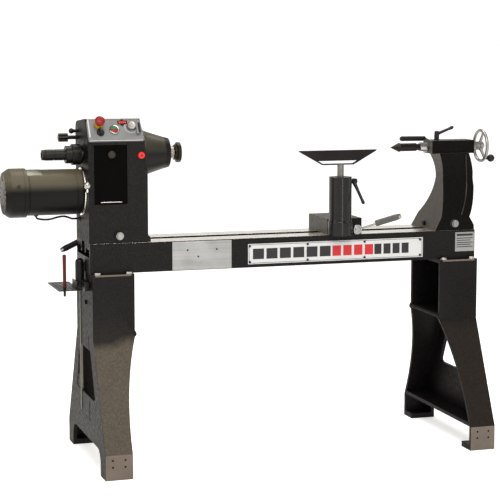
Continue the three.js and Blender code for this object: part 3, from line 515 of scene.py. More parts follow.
class LATHE_OT_finishes(bpy.types.Operator):
    """Makes the paints, metals and plastics and puts them on the pieces that stay as drawn"""

    bl_idname = "lathe.finishes"
    bl_label = "Finishes"

    def execute(self, context):
        c = context.scene.lathe_colours
        FINISH.update(
            enamel=textured_enamel("Textured black enamel", c.enamel),
            # Near leg: dust and painted light below the knee on its front faces.
            leg=textured_enamel("Textured enamel, dust and painted light below the knee", c.enamel, 0.36, 1.5, c.dust, KNEE),
            # Far leg: a darker film below the knee, some dust with painted shade of the leg farther from the
            # light.
            far_leg=textured_enamel("Textured enamel, dust and painted shade below the knee", c.enamel, 0.36, 1.5, linear("#262019"), KNEE),
            # Painted light: paler enamel for the left-facing and top faces of the banjo and tailstock, as if
            # lit from the left.
            side=textured_enamel(
                "Textured enamel, painted light from the left", c.enamel, 0.36, 1.5, linear("#65605a"), SPINDLE_Z + 200
            ),
            # Painted shade: darker, duller enamel for left-facing faces and for the tailstock's front.
            shade=textured_enamel("Textured enamel, painted shade", linear("#070606"), 0.42, 1.3, sheen=0.05),
            # Motor and fan cover: black paint with a painted highlight lightening their tops.
            motor=smooth_paint(
                "Motor paint, painted top highlight", linear("#060606"), 0.38, 0.04, sheen=0.1, top_highlight=(MOTOR_Z + 8, MOTOR_Z + 52)
            ),
            # Nose cone: satin black with a painted highlight over its upper half.
            cone=smooth_paint(
                "Cone paint, painted top highlight", c.satin, 0.36, 0.06, sheen=0.12, top_highlight=(SPINDLE_Z, SPINDLE_Z + 110)
            ),
            # Painted highlight: near-white silver for the control panel's lip.
            lip=smooth_paint("Silver lip, painted highlight", linear("#e2e3e6"), 0.4, 0.1, 0.95),
            pad=smooth_paint("Milled foot pad", linear("#544c45"), 0.42, 0, 1.25),
            door=smooth_paint("Smooth black door paint", linear("#030303"), 0.5, sheen=0.02),
            knob=smooth_paint("Worn black knob", linear("#1d1a17"), 0.5),
            gloss=smooth_paint("Gloss black paint", c.satin, 0.26, 0.2, sheen=0.16),
            satin=smooth_paint("Satin black paint", c.satin, 0.36, 0.06, sheen=0.14),
            plastic=smooth_paint("Moulded black plastic", c.plastic, 0.36),
            rubber=smooth_paint("Black rubber", linear("#181817"), 0.62, 0, 1.3),
            iron=ground_metal("Ground iron ways", c.iron, 0.22, (60, 1, 1), 0.93, 0.01),
            brushed=ground_metal("Brushed aluminium plate", c.aluminium, 0.34, (60, 1, 1), 0.8, 0.01, 7),
            foil=ground_metal("Rating foil", linear("#77776f"), 0.42, (1, 1, 1)),
            panel=smooth_paint("Silver control casting", c.panel, 0.45, 0, 0.88, 0.3),
            sheet=smooth_paint("Silver printed sheet", linear("#b0b3b5"), 0.4, 0.1, 0.9),
            steel=ground_metal("Turned steel", c.steel, 0.24, (1, 1, 1), 0.7),
            nose=ground_metal("Blued spindle steel", linear("#75726e"), 0.28, (1, 1, 1), 0.7),
            dark_steel=ground_metal("Blackened steel", c.dark_steel, 0.32, (1, 1, 1), 0.55),
            chrome=plated("Chrome plate", c.chrome, 0.12),
            red=glossy_plastic("Red plastic", c.red),
            bright_red=glossy_plastic("Bright red plastic", linear("#d3210f")),
            sleeve=glossy_plastic("Dark red dipped grip", linear("#4a0306"), 0.4),
            green=glossy_plastic("Green plastic", c.green),
            yellow=glossy_plastic("Yellow plastic", c.yellow, 0.4),
            lit=glossy_plastic("Lit red digits", linear("#c8322c"), 0.3, 0.25),
            glass=glossy_plastic("Dark display window", linear("#15080a"), 0.08),
            print=smooth_paint("Black print", linear("#1d1d1f"), 0.5),
            red_print=smooth_paint("Red print", linear("#a8232a"), 0.5, 0, 0.9),
            grey_plastic=smooth_paint("Grey moulding", linear("#8f9294"), 0.4, 0, 0.85),
            grey_grip=smooth_paint("Grey moulded grip", linear("#434342"), 0.42, 0, 1.3),
            satin_chrome=plated("Satin chrome plate", linear("#8b8b89"), 0.3),
        )
        of_slot = {
            "cast_paint": "enamel",
            "ground_iron": "iron",
            "brushed_plate": "brushed",
            "silver_panel": "panel",
            "satin_black": "satin",
            "black_plastic": "plastic",
            "black_rubber": "rubber",
            "steel": "steel",
            "chrome": "chrome",
            "dark_steel": "dark_steel",
            "red_plastic": "red",
            "green_plastic": "green",
            "yellow_plastic": "yellow",
        }
        for part in frame["record"]["subparts"]:
            mesh = frame["nodes"][part["node"]].data
            mesh.materials.clear()
            mesh.materials.append(FINISH[of_slot[part["material_slot"]]])
        return {"FINISHED"}


# ---- Fastenings ----
def hex_bolt(base, way, across, height):
    washer = turned(base, way, [(0, across * 0.72), (2, across * 0.72)], 32, 0.4)
    corner = across * 0.577
    head = turned(base, way, [(1.9, corner), (height, corner), (height + 0.8, across * 0.5)], 6, 0.5)
    return merged(washer, head)


def cap_screw(base, way, radius, height):
    profile = [(0, radius), (height, radius), (height, radius * 0.5), (height * 0.35, radius * 0.5)]
    return turned(base, way, profile, 24, 0.25)


def grip(name, body, foot, way, profile, groove=None, material="plastic"):
    """A moulded grip over a rod, with a band of grooves between the two distances of `groove`."""
    steps = list(profile)
    if groove:
        low, high, radius = groove
        count = int((high - low) / 6)
        bands = []
        for i in range(count):
            s = low + i * (high - low) / count
            bands += [(s, radius), (s + 1, radius - 0.9), (s + 2.2, radius - 0.9), (s + 3.2, radius)]
        steps = [p for p in steps if p[0] < low] + bands + [p for p in steps if p[0] > high]
    return done(turned(foot, way, steps), name, body, FINISH[material])


# ---- Stand ----
class LATHE_OT_legs(bpy.types.Operator):
    """Two splayed cast legs with rounded edges, milled foot pads and their bolts"""

    bl_idname = "lathe.legs"
    bl_label = "Legs"

    def execute(self, context):
        edge = context.scene.lathe_sizes.cast_edge / MM
        for name, outer, inward in (("headstock_leg", BED_LEFT + 2, 1), ("tailstock_leg", BED_RIGHT + 1, -1)):
            leg = casting(name)

            def radius_at(x, y, z):
                at_floor = z < 3
                at_top = z > BED_BOTTOM - 4
                return 1.2 if at_floor or at_top else edge

            cast_edges(leg, radius_at, edge)
            for hole_x in (26, 70):
                for hole_z in (46, 70):
                    x = outer + inward * hole_x
                    drill = turned((x, -FOOT_Y - 4, hole_z), Y, [(0, 3.6), (12, 3.6)], 20)
                    bored(leg, drill)

            # Painted light and shade by facing: left-facing faces take the darker 'shade' enamel (painted
            # shade). Front faces take the film below the knee: dust and painted light on the near leg, a
            # darker copy as painted shade on the far leg.
            def finish_at(x, y, z, normal):
                if normal.x < -0.5:
                    return 3
                if normal.y > -0.5 or y > -100:
                    return 0
                return 2 if z < 87 and y < -FOOT_Y + 1 else 1

            dust_and_light_finish = "leg" if inward > 0 else "far_leg"
            finished(leg, ("enamel", dust_and_light_finish, "pad", "shade"), finish_at)
            done(leg, name + "_casting", "stand", None, [name])
        face = BED_LEFT + 2
        # The panel on the leg's side takes the darker 'shade' enamel: painted shade.
        panel = block(face + 2, face + 5, 69, 152, 228, 416, 0.5, 1)
        done(panel, "headstock_leg_panel", "stand", FINISH["shade"])
        rib = block(face - 3, face + 5, 65, 71, 170, BED_BOTTOM - 60, 1, 2)
        done(rib, "headstock_leg_rib", "stand", FINISH["foil"])
        # Near-black strips laid on the leg's side for its slots: painted shade of the openings.
        slots = [
            block(face - 0.5, face + 1, y - 3, y + 3, low, high, 0.3, 1)
            for y, low, high in ((124, 291, 384), (-63, 414, 462), (-63, 155, 226))
        ]
        done(merged(*slots), "headstock_leg_slots", "stand", FINISH["door"])
        bolt = cap_screw((face + 0.3, -24, 577), -X, 8, 7)
        done(bolt, "headstock_leg_side_bolt", "stand", FINISH["dark_steel"])
        strips = [
            block(x, x + 128, -136.6, -130, BED_BOTTOM - 7, BED_BOTTOM - 1, 0.5, 1)
            for x in (BED_LEFT + 12, BED_RIGHT - 138)
        ]
        done(merged(*strips), "leg_top_edges", "stand", FINISH["pad"])
        self.bolts(context.scene.lathe_sizes.bolt / MM)
        return {"FINISHED"}

    def bolts(self, across):
        """Four bolts up into the bed at each leg."""
        first = hex_bolt((BED_LEFT + 22, -126, BED_BOTTOM - 0.3), Z, across, 7)
        far = BED_RIGHT - BED_LEFT - 42
        offsets = [(112, 0, 0), (0, 252, 0), (112, 252, 0)]
        offsets += [(far - 112, 0, 0), (far, 0, 0), (far - 112, 252, 0), (far, 252, 0)]
        done(repeated(first, offsets), "leg_bolts", "stand", FINISH["steel"])


class LATHE_OT_bed(bpy.types.Operator):
    """Slotted bed with bright ground ways over painted sides, and the plates on its front"""

    bl_idname = "lathe.bed"
    bl_label = "Bed"

    def execute(self, context):
        sizes = context.scene.lathe_sizes
        bed = casting("bed")
        rounded(bed, sizes.way_edge / MM, 2, 40)
        finished(bed, ("enamel", "iron"), lambda x, y, z, normal: int(z > BED_TOP - 2.2))
        done(bed, "bed_casting", "stand", None, ["bed"])
        self.side_plate(sizes)
        self.name_plate(sizes)
        self.spec_plate(sizes)
        return {"FINISHED"}

    def side_plate(self, sizes):
        face = -BED_HALF - 2.3
        plate = casting("side_plate")
        for x, z in ((-3, 759), (104, 759), (36, 735)):
            bored(plate, turned((x, face - 2, z), Y, [(0, 3.4), (10, 3.4)], 24))
        rounded(plate, sizes.plate_edge / MM, 2, 40)
        done(plate, "side_plate_brushed", "stand", FINISH["brushed"], ["side_plate"])

    def name_plate(self, sizes):
        low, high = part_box("name_plate")
        left, right = low.x / MM - NOSE, high.x / MM - NOSE
        bottom, top = low.z / MM, high.z / MM
        face = low.y / MM
        plate = casting("name_plate")
        rounded(plate, sizes.plate_edge / MM, 2, 40)
        done(plate, "name_plate_sheet", "stand", FINISH["sheet"], ["name_plate"])
        band = 1.6
        border = merged(
            block(left + 3, right - 3, face - 0.25, face + 0.2, bottom + 3, bottom + 3 + band, 0.1, 1),
            block(left + 3, right - 3, face - 0.25, face + 0.2, top - 3 - band, top - 3, 0.1, 1),
            block(left + 3, left + 3 + band, face - 0.25, face + 0.2, bottom + 3, top - 3, 0.1, 1),
            block(right - 3 - band, right - 3, face - 0.25, face + 0.2, bottom + 3, top - 3, 0.1, 1),
        )
        done(border, "name_plate_border", "stand", FINISH["print"])
        middle = (bottom + top) / 2
        for label, first, count, width, space, finish, slot in (
            ("dark", 18, 6, 42, 9, "print", "black_plastic"),
            ("red", 322, 4, 33, 9, "red_print", "red_plastic"),
            ("end", 486, 4, 28, 8, "print", "black_plastic"),
        ):
            starts = [left + first + (width + space) * i for i in range(count)]
            bars = [
                block(x, x + width, face - 0.3, face + 0.2, middle - 19, middle + 19, 0.15, 1)
                for x in starts
            ]
            done(merged(*bars), f"name_plate_{label}_bars", "stand", FINISH[finish])
        screw = cap_screw((227, face, bottom + 8), -Y, 4.2, 2.6)
        offsets = [(dx, 0, dz) for dx in (0, 220, 441, 661) for dz in (0, top - bottom - 16) if dx or dz]
        done(repeated(screw, offsets), "name_plate_screws", "stand", FINISH["plastic"])

    def spec_plate(self, sizes):
        low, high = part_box("spec_plate")
        left, right = low.x / MM - NOSE, high.x / MM - NOSE
        face, top = low.y / MM, high.z / MM
        plate = casting("spec_plate")
        rounded(plate, sizes.plate_edge / MM, 2, 40)
        done(plate, "spec_plate_sheet", "stand", FINISH["brushed"], ["spec_plate"])
        rows = [block(left + 6, right - 6, face - 0.25, face + 0.2, top - 14, top - 6, 0.1, 1)]
        for i in range(5):
            end = right - 6 - 9 * (i % 2)
            low_z = top - 24 - 8 * i
            rows.append(block(left + 6, end, face - 0.25, face + 0.2, low_z, low_z + 3, 0.1, 1))
        done(merged(*rows), "spec_plate_rows", "stand", FINISH["print"])


class LATHE_OT_shelf(bpy.types.Operator):
    """Perforated tool shelf, its moulded bracket and the knock-out bar"""

    bl_idname = "lathe.shelf"
    bl_label = "Tool shelf"

    def execute(self, context):
        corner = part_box("tool_shelf")[0]
        shelf = casting("tool_shelf")
        peg = turned((corner.x / MM - NOSE + 12, -92, corner.z / MM - 8), Z, [(0, 3.2), (30, 3.2)], 10)
        pick(peg)
        for count, step in ((5, (13.5, 0, 0)), (14, (0, 14.2, 0))):
            bpy.ops.object.modifier_add(type="ARRAY")
            row = peg.modifiers[-1]
            row.count = count
            row.use_relative_offset = False
            row.use_constant_offset = True
            row.constant_offset_displace = [s * MM for s in step]
            bpy.ops.object.modifier_apply(modifier=row.name)
        bored(shelf, peg)
        done(shelf, "tool_shelf_sheet", "stand", FINISH["dark_steel"], ["tool_shelf"])
        bracket = casting("shelf_bracket")
        rounded(bracket, 2, 3, 30)
        paint = FINISH["plastic"]
        done(bracket, "shelf_bracket_moulding", "stand", paint, ["shelf_bracket"])
        low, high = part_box("knockout_bar")
        x, y = (low.x + high.x) / 2 / MM - NOSE, (low.y + high.y) / 2 / MM
        z = low.z / MM
        tip = turned((x, y, z), Z, [(0, 3), (2, 4.4), (30, 4.4)])
        done(tip, "knockout_bar_tip", "knockout_bar", FINISH["dark_steel"])
        sleeve = [(29, 5), (31, 6.4), (60, 6), (100, 6), (130, 6.4), (145, 6.4), (147.8, 4.6)]
        sleeve = turned((x, y, z), Z, sleeve)
        done(sleeve, "knockout_bar_sleeve", "knockout_bar", FINISH["sleeve"], ["knockout_bar"])
        return {"FINISHED"}


# ---- Headstock ----
class LATHE_OT_headstock(bpy.types.Operator):
    """Headstock casting with its nose cone, access door and lock button"""

    bl_idname = "lathe.headstock"
    bl_label = "Headstock"

    def execute(self, context):
        head = casting("headstock_casting")

        def radius_at(x, y, z):
            if x > HEAD_RIGHT + 12 or z < BED_TOP + 2:
                return 0.8
            outside = abs(abs(y) - HEAD_HALF) < 2 or z > HEAD_TOP - 60 or abs(x - HEAD_LEFT) < 2
            in_door = HEAD_LEFT + 18 < x < HEAD_LEFT + 142 and y < 0
            in_lock = abs(x - HEAD_RIGHT + 23) < 16 and y < 0 and abs(z - SPINDLE_Z) < 16
            if in_door or in_lock or not outside:
                return 0.8
            return 6

        cast_edges(head, radius_at, 6, 4)
        # Left-facing faces of the headstock take the darker 'shade' enamel: painted shade.
        finished(head, ("enamel", "shade"), lambda x, y, z, normal: int(normal.x < -0.5))
        done(head, "headstock_body", "headstock", None, ["headstock_casting"])
        cone = [(-20, 84), (-8, 88), (0, 88.5), (3, 86), (6, 82)]
        cone += [(12, 79.5), (30, 73), (60, 63.5), (88, 54.5), (94, 52.6), (98.5, 52.4), (100.4, 50)]
        cone += [(100.4, 24), (97, 22)]
        nose = turned((HEAD_RIGHT, 0, SPINDLE_Z), X, cone, 96)
        done(nose, "nose_cone", "headstock", FINISH["cone"], smooth=40)
        self.door()
        low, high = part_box("spindle_lock_button")
        x = (low.x + high.x) / 2 / MM - NOSE
        cap = [(0, 9.5), (1.5, 11.4), (6, 12), (14, 12), (14, 8.4), (23, 8.4)]
        cap = turned((x, low.y / MM, SPINDLE_Z), Y, cap, 40)
        red = FINISH["bright_red"]
        done(cap, "spindle_lock_cap", "spindle_lock", red, ["spindle_lock_button"])
        mark = turned((x, low.y / MM - 0.3, SPINDLE_Z), Y, [(0, 4), (1, 4)], 24)
        done(mark, "spindle_lock_mark", "spindle_lock", FINISH["print"])
        self.outboard_fittings()
        return {"FINISHED"}

    def door(self):
        door = casting("access_door")
        rounded(door, 0.8, 2, 40)
        done(door, "access_door_sheet", "access_door", FINISH["door"], ["access_door"])
        lip = turned((-312, -HEAD_HALF - 1.2, 937), X, [(0, 1.4), (1, 1.9), (74, 1.9), (75, 1.4)], 16)
        done(lip, "access_door_lip", "access_door", FINISH["steel"])
        low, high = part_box("door_knob")
        x, z = (low.x + high.x) / 2 / MM - NOSE, (low.z + high.z) / 2 / MM
        y = low.y / MM
        knob = [(0, 3), (0.4, 6), (1.6, 9), (3.6, 11.4), (6.4, 13.2), (9.6, 13.8), (12.6, 13.2)]
        knob += [(15, 11.6), (16.7, 9), (16.7, 4.6), (24, 4.6)]
        knob = turned((x, y, z), Y, knob, 40)
        done(knob, "door_knob_moulding", "access_door", FINISH["knob"], ["door_knob"])

    def outboard_fittings(self):
        for name in ("index_pin", "clamp_knob"):
            piece = casting(name)
            rounded(piece, 1.4, 3, 30)
            done(piece, name + "_moulding", name, FINISH["plastic"], [name])


class LATHE_OT_controls(bpy.types.Operator):
    """Sloped control panel: bezel, display, stop button, selector, start and stop, speed dial"""

    bl_idname = "lathe.controls"
    bl_label = "Controls"

    def execute(self, context):
        bezel = casting("control_panel")
        rounded(bezel, 1.6, 3, 35)
        done(bezel, "control_bezel", "headstock", FINISH["panel"], ["control_panel"])
        face = 7.3
        # The rails and the lip are lighter than the panel's face: painted highlight on the raised edges.
        frame_bars = merged(
            self.slab(5, 10, 11, 84, face - 0.4, face + 5, 1),
            self.slab(3, 194, 87, 90, face - 0.4, face + 1.5, 0.6),
        )
        done(frame_bars, "control_panel_rails", "headstock", FINISH["sheet"])
        lip = self.slab(3, 194, 0.5, 7, face - 0.4, face + 3.5, 1)
        done(lip, "control_panel_lip", "headstock", FINISH["lip"])
        window = [(0, 15), (1.4, 15), (1.4, 13.5), (0.9, 13)]
        window = turned(panel_point(128, 72, face - 0.5), OUT, window, 4)
        done(window, "display_frame", "headstock", FINISH["plastic"])
        self.display(face)
        self.stop(face)
        self.selector(face)
        self.starter(face)
        self.dial(face)
        return {"FINISHED"}

    def slab(self, x0, x1, y0, y1, out0, out1, edge=0.3):
        """A thin block lying on the slope."""
        start()
        middle = panel_point((x0 + x1) / 2, (y0 + y1) / 2, (out0 + out1) / 2)
        size = ((x1 - x0) * MM, (y1 - y0) * MM, (out1 - out0) * MM)
        turn = (math.radians(90) - PANEL_TILT, 0, 0)
        bpy.ops.mesh.primitive_cube_add(size=1, location=at(*middle), scale=size, rotation=turn)
        bpy.ops.object.transform_apply(location=True, rotation=True, scale=True)
        piece = bpy.context.object
        rounded(piece, edge, 2)
        return piece

    def display(self, face):
        window = self.slab(112, 146, 66, 80, face - 0.4, face + 1.6)
        done(window, "display_window", "headstock", FINISH["glass"])
        starts = [116 + 7 * i for i in range(4)]
        digits = merged(*[self.slab(x, x + 5, 69, 77, face + 1.3, face + 1.9, 0.1) for x in starts])
        done(digits, "display_digits", "headstock", FINISH["lit"])
        recess = self.slab(181, 189, 28, 68, face + 7, face + 8.6)
        done(recess, "panel_grip_pad", "headstock", FINISH["plastic"])

    def stop(self, face):
        base = panel_point(44, 64)
        collar = [(face + 0.3, 15), (face + 4, 14.8), (face + 13, 14), (face + 13, 10), (face + 2, 10)]
        collar = turned(base, OUT, collar, 48, 0.4)
        done(collar, "stop_collar_ring", "headstock", FINISH["yellow"], ["stop_collar"])
        button = [(-14, 9), (face + 20, 9), (face + 20, 15), (face + 24, 17.2)]
        button += [(face + 29, 18), (face + 33, 17.2)]
        button += [(face + 36, 14.6), (face + 37.6, 10.5), (face + 38, 5)]
        button = turned(base, OUT, button, 56)
        done(button, "stop_mushroom", "emergency_stop", FINISH["red"], ["emergency_stop"])

    def selector(self, face):
        base = panel_point(47, 34)
        skirt = [(-10, 5), (face + 0.6, 5), (face + 0.6, 13.5), (face + 5, 13.2), (face + 7, 11.5)]
        skirt = turned(base, OUT, skirt)
        vane = self.slab(43, 51, 22, 46, face + 6, face + 17, 2)
        knob = merged(skirt, vane)
        black = FINISH["plastic"]
        done(knob, "selector_knob", "direction_switch", black, ["direction_switch"])
        line = self.slab(46.2, 47.8, 36, 45, face + 16.8, face + 17.3, 0.1)
        done(line, "selector_line", "direction_switch", FINISH["panel"])

    def starter(self, face):
        base = panel_point(97, 44)
        ring = [(face, 18), (face + 3.4, 17.4), (face + 5, 15.6), (face + 4.6, 14), (face + 0.5, 14)]
        ring = turned(base, OUT, ring, 56)
        done(ring, "starter_ring", "headstock", FINISH["chrome"])
        for name, finish in (("start_button", "green"), ("stop_button", "red")):
            side = 1 if name == "start_button" else -1
            button = [(-8, 13.4), (face + 3, 13.4), (face + 5.2, 12.6), (face + 6, 11), (face + 6, 3)]
            button = halved(turned(base, OUT, button, 56), panel_point(97, 44 + side * 0.4), UP * -side)
            done(button, name + "_cap", name, FINISH[finish], [name])

    def dial(self, face):
        base = panel_point(157, 53)
        scale = turned(base, OUT, [(face, 24), (face + 0.5, 24), (face + 0.5, 6), (face + 0.1, 6)], 64)
        done(scale, "speed_scale", "headstock", FINISH["grey_plastic"])
        marks = []
        for i in range(11):
            turn = math.radians(-45 + 27 * i)
            x, y = 157 + 20.6 * math.cos(turn), 53 + 20.6 * math.sin(turn)
            marks.append(turned(panel_point(x, y, face + 0.3), OUT, [(0, 1.1), (0.4, 1.1)], 12))
        done(merged(*marks), "speed_scale_marks", "headstock", FINISH["print"])
        knob = [(-10, 5), (face + 0.8, 5), (face + 0.8, 17), (face + 3, 17), (face + 3.6, 16.3)]
        knob += [(face + 15, 15.6)]
        knob += [(face + 17, 14.6), (face + 18, 13), (face + 17.4, 11), (face + 17.4, 3)]
        knob = turned(base, OUT, knob, 64)
        done(knob, "speed_knob", "speed_dial", FINISH["brushed"], ["speed_dial"])
        line = self.slab(156.3, 157.7, 57, 65, face + 17.5, face + 18.3, 0.1)
        done(line, "speed_knob_line", "speed_dial", FINISH["red_print"])


class LATHE_OT_spindle(bpy.types.Operator):
    """Turned spindle, its faceplate, outboard collar and sleeve"""

    bl_idname = "lathe.spindle"
    bl_label = "Spindle"

    def execute(self, context):
        centre = (0, 0, SPINDLE_Z)
        nose = [(-439, 7.5), (-439, 14), (-415, 14), (-415, 20), (-43, 20), (-43, 20.6), (-40, 21), (-24, 21)]
        nose += [(-22.4, 19.5), (-22.4, 15), (-2.8, 15), (-2, 14.2), (-2, 8.5), (-3, 7.5), (-60, 7.5)]
        shaft = turned(centre, X, nose)
        done(shaft, "spindle_turned", "spindle", FINISH["nose"], ["spindle"])
        plate = [(-22, 15.3), (-22, 26.4), (-21.4, 27), (-14.5, 29.6), (-13, 35.2), (-12.2, 36)]
        plate += [(-8, 36), (-7.4, 35.2)]
        plate += [(-6, 35.2), (-5.4, 36), (-0.8, 36), (0, 35.2), (0, 24), (-0.8, 23.4), (-0.8, 22), (0, 21.4)]
        plate += [(0, 16), (-0.7, 15.3), (-21, 15.3)]
        plate = turned(centre, X, plate)
        done(plate, "faceplate_turned", "spindle", FINISH["dark_steel"], ["faceplate"])
        ribs = []
        for i in range(6):
            s = -391 + 4.6 * i
            ribs += [(s, 37), (s + 2.6, 37), (s + 3.2, 35.6), (s + 4, 35.6)]
        collar = [(-414.7, 20.3), (-414.7, 29.5), (-413.2, 31), (-394, 31), (-393, 32), (-392.6, 36.2)]
        collar += ribs + [(-362, 37), (-361, 36), (-361, 20.3)]
        collar = turned(centre, X, collar)
        done(collar, "outboard_ring", "spindle", FINISH["satin"], ["outboard_collar"])
        sleeve = [(-416, 14.4), (-416, 18.8), (-417, 19.5), (-452, 19.5), (-453, 18.6), (-456, 18.6)]
        sleeve += [(-457, 19.5), (-486, 19.5), (-487.5, 18.4), (-497.8, 18.2), (-498, 17), (-498, 12)]
        sleeve += [(-497, 11), (-440, 11)]
        sleeve = turned(centre, X, sleeve)
        done(sleeve, "outboard_tube", "spindle", FINISH["satin"], ["outboard_sleeve"])
        return {"FINISHED"}


class LATHE_OT_motor(bpy.types.Operator):
    """Motor with its seams, vented fan cover, rating plate, swinging plate and tension ball"""

    bl_idname = "lathe.motor"
    bl_label = "Motor"

    def execute(self, context):
        low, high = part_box("motor_body")
        left, right = low.x / MM - NOSE, high.x / MM - NOSE
        radius = high.y / MM
        centre = (left, 0, MOTOR_Z)
        size = right - left
        shell = [(0, 30), (0, radius - 4), (4, radius), (20, radius), (21, radius - 1.5), (23, radius - 1.5)]
        shell += [(24, radius), (size - 26, radius), (size - 25, radius - 1.5), (size - 23, radius - 1.5)]
        shell += [(size - 22, radius), (size - 5, radius), (size - 1, radius - 4), (size, radius - 5)]
        shell += [(size, 30)]
        body = turned(centre, X, shell, 96)
        gland = turned((left + 54, 0, MOTOR_Z - radius + 2), -Z, [(0, 8), (4, 8), (5, 7)], 24)
        body = merged(body, gland)
        done(body, "motor_shell", "motor_mount", FINISH["motor"], ["motor_body"], 40)
        self.cover()
        self.rating_plate(left, radius)
        plate = casting("motor_plate")
        rounded(plate, 1.2, 2, 35)
        done(plate, "motor_plate_turned", "motor_mount", FINISH["iron"], ["motor_plate"])
        self.tension()
        return {"FINISHED"}

    def cover(self):
        low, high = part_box("fan_cover")
        left, right = low.x / MM - NOSE, high.x / MM - NOSE
        radius = high.y / MM
        size = right - left
        shell = [(3, 20), (0, 20), (0, radius - 15), (2, radius - 12.5), (19, radius - 1.5), (23, radius)]
        shell += [(size - 14, radius), (size - 13, radius - 1), (size - 11, radius - 1), (size - 10, radius)]
        shell += [(size - 0.6, radius), (size, radius - 0.8), (size, radius - 4), (26, radius - 4)]
        shell += [(3.4, radius - 17), (3.2, 20.4)]
        cover = turned((left, 0, MOTOR_Z), X, shell, 96)
        slots = []
        for i in range(20):
            turn = 2 * math.pi * i / 20
            out = Vector((0, math.cos(turn), math.sin(turn)))
            side = Vector((0, -math.sin(turn), math.cos(turn)))
            base = Vector((left - 6, 0, MOTOR_Z)) + out * 47
            slots.append(self.slot_cutter(base, out, side))
        pick(cover)
        for cutter in slots:
            bored(cover, cutter)
        done(cover, "fan_cover_pressing", "motor_mount", FINISH["motor"], ["fan_cover"], 40)
        hub = turned((left - 0.6, 0, MOTOR_Z), X, [(0, 17), (1, 19), (3, 20.6), (6, 20.6)], 40)
        done(hub, "fan_cover_hub", "motor_mount", FINISH["plastic"])
        bolt = hex_bolt((left + 44, -math.cos(0.35) * radius + 1.4, MOTOR_Z + math.sin(0.35) * radius - 0.6),
                        (0, -math.cos(0.35), math.sin(0.35)), 9, 5)
        done(bolt, "fan_cover_bolt", "motor_mount", FINISH["dark_steel"])

    def slot_cutter(self, base, out, side):
        """A thin radial wedge through the cover's end."""
        start()
        middle = base + out * 10 + X * 8
        turn = out.to_track_quat("X", "Z").to_euler()
        bpy.ops.mesh.primitive_cube_add(
            size=1, location=at(*middle), rotation=turn, scale=(28 * MM, 14 * MM, 4.4 * MM)
        )
        bpy.ops.object.transform_apply(location=True, rotation=True, scale=True)
        return bpy.context.object

    def rating_plate(self, left, radius):
        """A curved strip of foil lying on the motor's top front."""
        inside, outside = radius + 0.1, radius + 0.7
        foil = [(0, inside), (0, outside), (52, outside), (52, inside)]
        foil = turned((left + 17, 0, MOTOR_Z), X, foil, 96)
        keep_low, keep_high = math.radians(52), math.radians(98)
        pick(foil)
        bpy.ops.object.mode_set(mode="EDIT")
        bpy.ops.mesh.select_all(action="DESELECT")
        bpy.ops.object.mode_set(mode="OBJECT")
        for vertex in foil.data.vertices:
            rel = vertex.co / MM - Vector((0, 0, MOTOR_Z))
            turn = math.atan2(rel.z, -rel.y)
            vertex.select = not keep_low <= turn <= keep_high
        bpy.ops.object.mode_set(mode="EDIT")
        bpy.ops.mesh.delete(type="VERT")
        bpy.ops.mesh.select_all(action="SELECT")
        bpy.ops.object.mode_set(mode="OBJECT")
        for face in foil.data.polygons:
            face.select = abs(face.normal.x) > 0.5
        bpy.ops.object.modifier_add(type="SOLIDIFY")
        foil.modifiers[-1].thickness = 0.4 * MM
        foil.modifiers[-1].offset = 1
        bpy.ops.object.modifier_apply(modifier=foil.modifiers[-1].name)
        done(foil, "rating_foil", "motor_mount", FINISH["foil"])

    def tension(self):
        x = HEAD_LEFT - 12
        foot = Vector((x, -92, MOTOR_Z + 17))
        tip = Vector((x - 2, -150, MOTOR_Z + 33))
        way = (tip - foot).normalized()
        reach = (tip - foot).length
        rod = turned(foot, way, [(0, 5), (reach - 14, 5), (reach - 10, 4.4), (reach - 4, 4.4)], 32)
        done(rod, "tension_rod", "motor_mount", FINISH["plastic"])
        knob = globe(tip, 12.8)
        done(knob, "tension_ball", "motor_mount", FINISH["chrome"], ["tension_lever"])


# ---- Levers ----
def clamp_handle(
    label, body, foot, way, reach, slot_node, rod, grip_start, grip_radius, cap, material="plastic"
):
    """A chromed rod with a moulded grip and a bright end cap."""
    bar = turned(foot, way, [(8, rod), (grip_start - 3, rod), (grip_start + 8, rod)], 32)
    done(bar, label + "_rod", body, FINISH["chrome"], [slot_node])
    end = reach - cap
    profile = [(grip_start, rod + 1.5), (grip_start + 2, grip_radius - 2), (grip_start + 7, grip_radius)]
    profile += [(end - 8, grip_radius), (end, grip_radius - 1.2)]
    grooves = (grip_start + 14, end - 14, grip_radius)
    grip(label + "_grip", body, foot, way, profile, grooves, material)
    tip = [(end, grip_radius - 2), (end + 1, grip_radius - 1)]
    tip += [(reach - 3, grip_radius - 2.5), (reach, grip_radius - 5)]
    tip = turned(foot, way, tip, 40)
    done(tip, label + "_cap", body, FINISH["chrome"])


class LATHE_OT_levers(bpy.types.Operator):
    """Cam shafts and clamp levers of the headstock and the tailstock"""

    bl_idname = "lathe.levers"
    bl_label = "Bed clamp levers"

    def execute(self, context):
        drop = math.radians(24.5)
        for name in ("headstock_lever", "tailstock_lever"):
            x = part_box(name)[1].x / MM - NOSE - 18
            hub_y = HEAD_HALF + 22
            shaft = [(-114, 8.6), (-112.8, 9.8), (hub_y + 7, 10)]
            shaft = turned((x, 0, CAM_Z), Y, shaft, 48)
            hub = [(hub_y - 8, 16.6), (hub_y - 6.6, 18), (hub_y + 6.6, 18), (hub_y + 8, 16.6)]
            hub = turned((x, 0, CAM_Z), Y, hub, 48)
            head = hex_bolt((x, -113.6, CAM_Z), -Y, 19, 7)
            done(merged(shaft, hub, head), name + "_shaft", name, FINISH["satin_chrome"])
            way = Vector((-math.cos(drop), 0, -math.sin(drop)))
            clamp_handle(name, name, (x, hub_y, CAM_Z), way, 180, name, 6, 88, 11, 12)
        return {"FINISHED"}


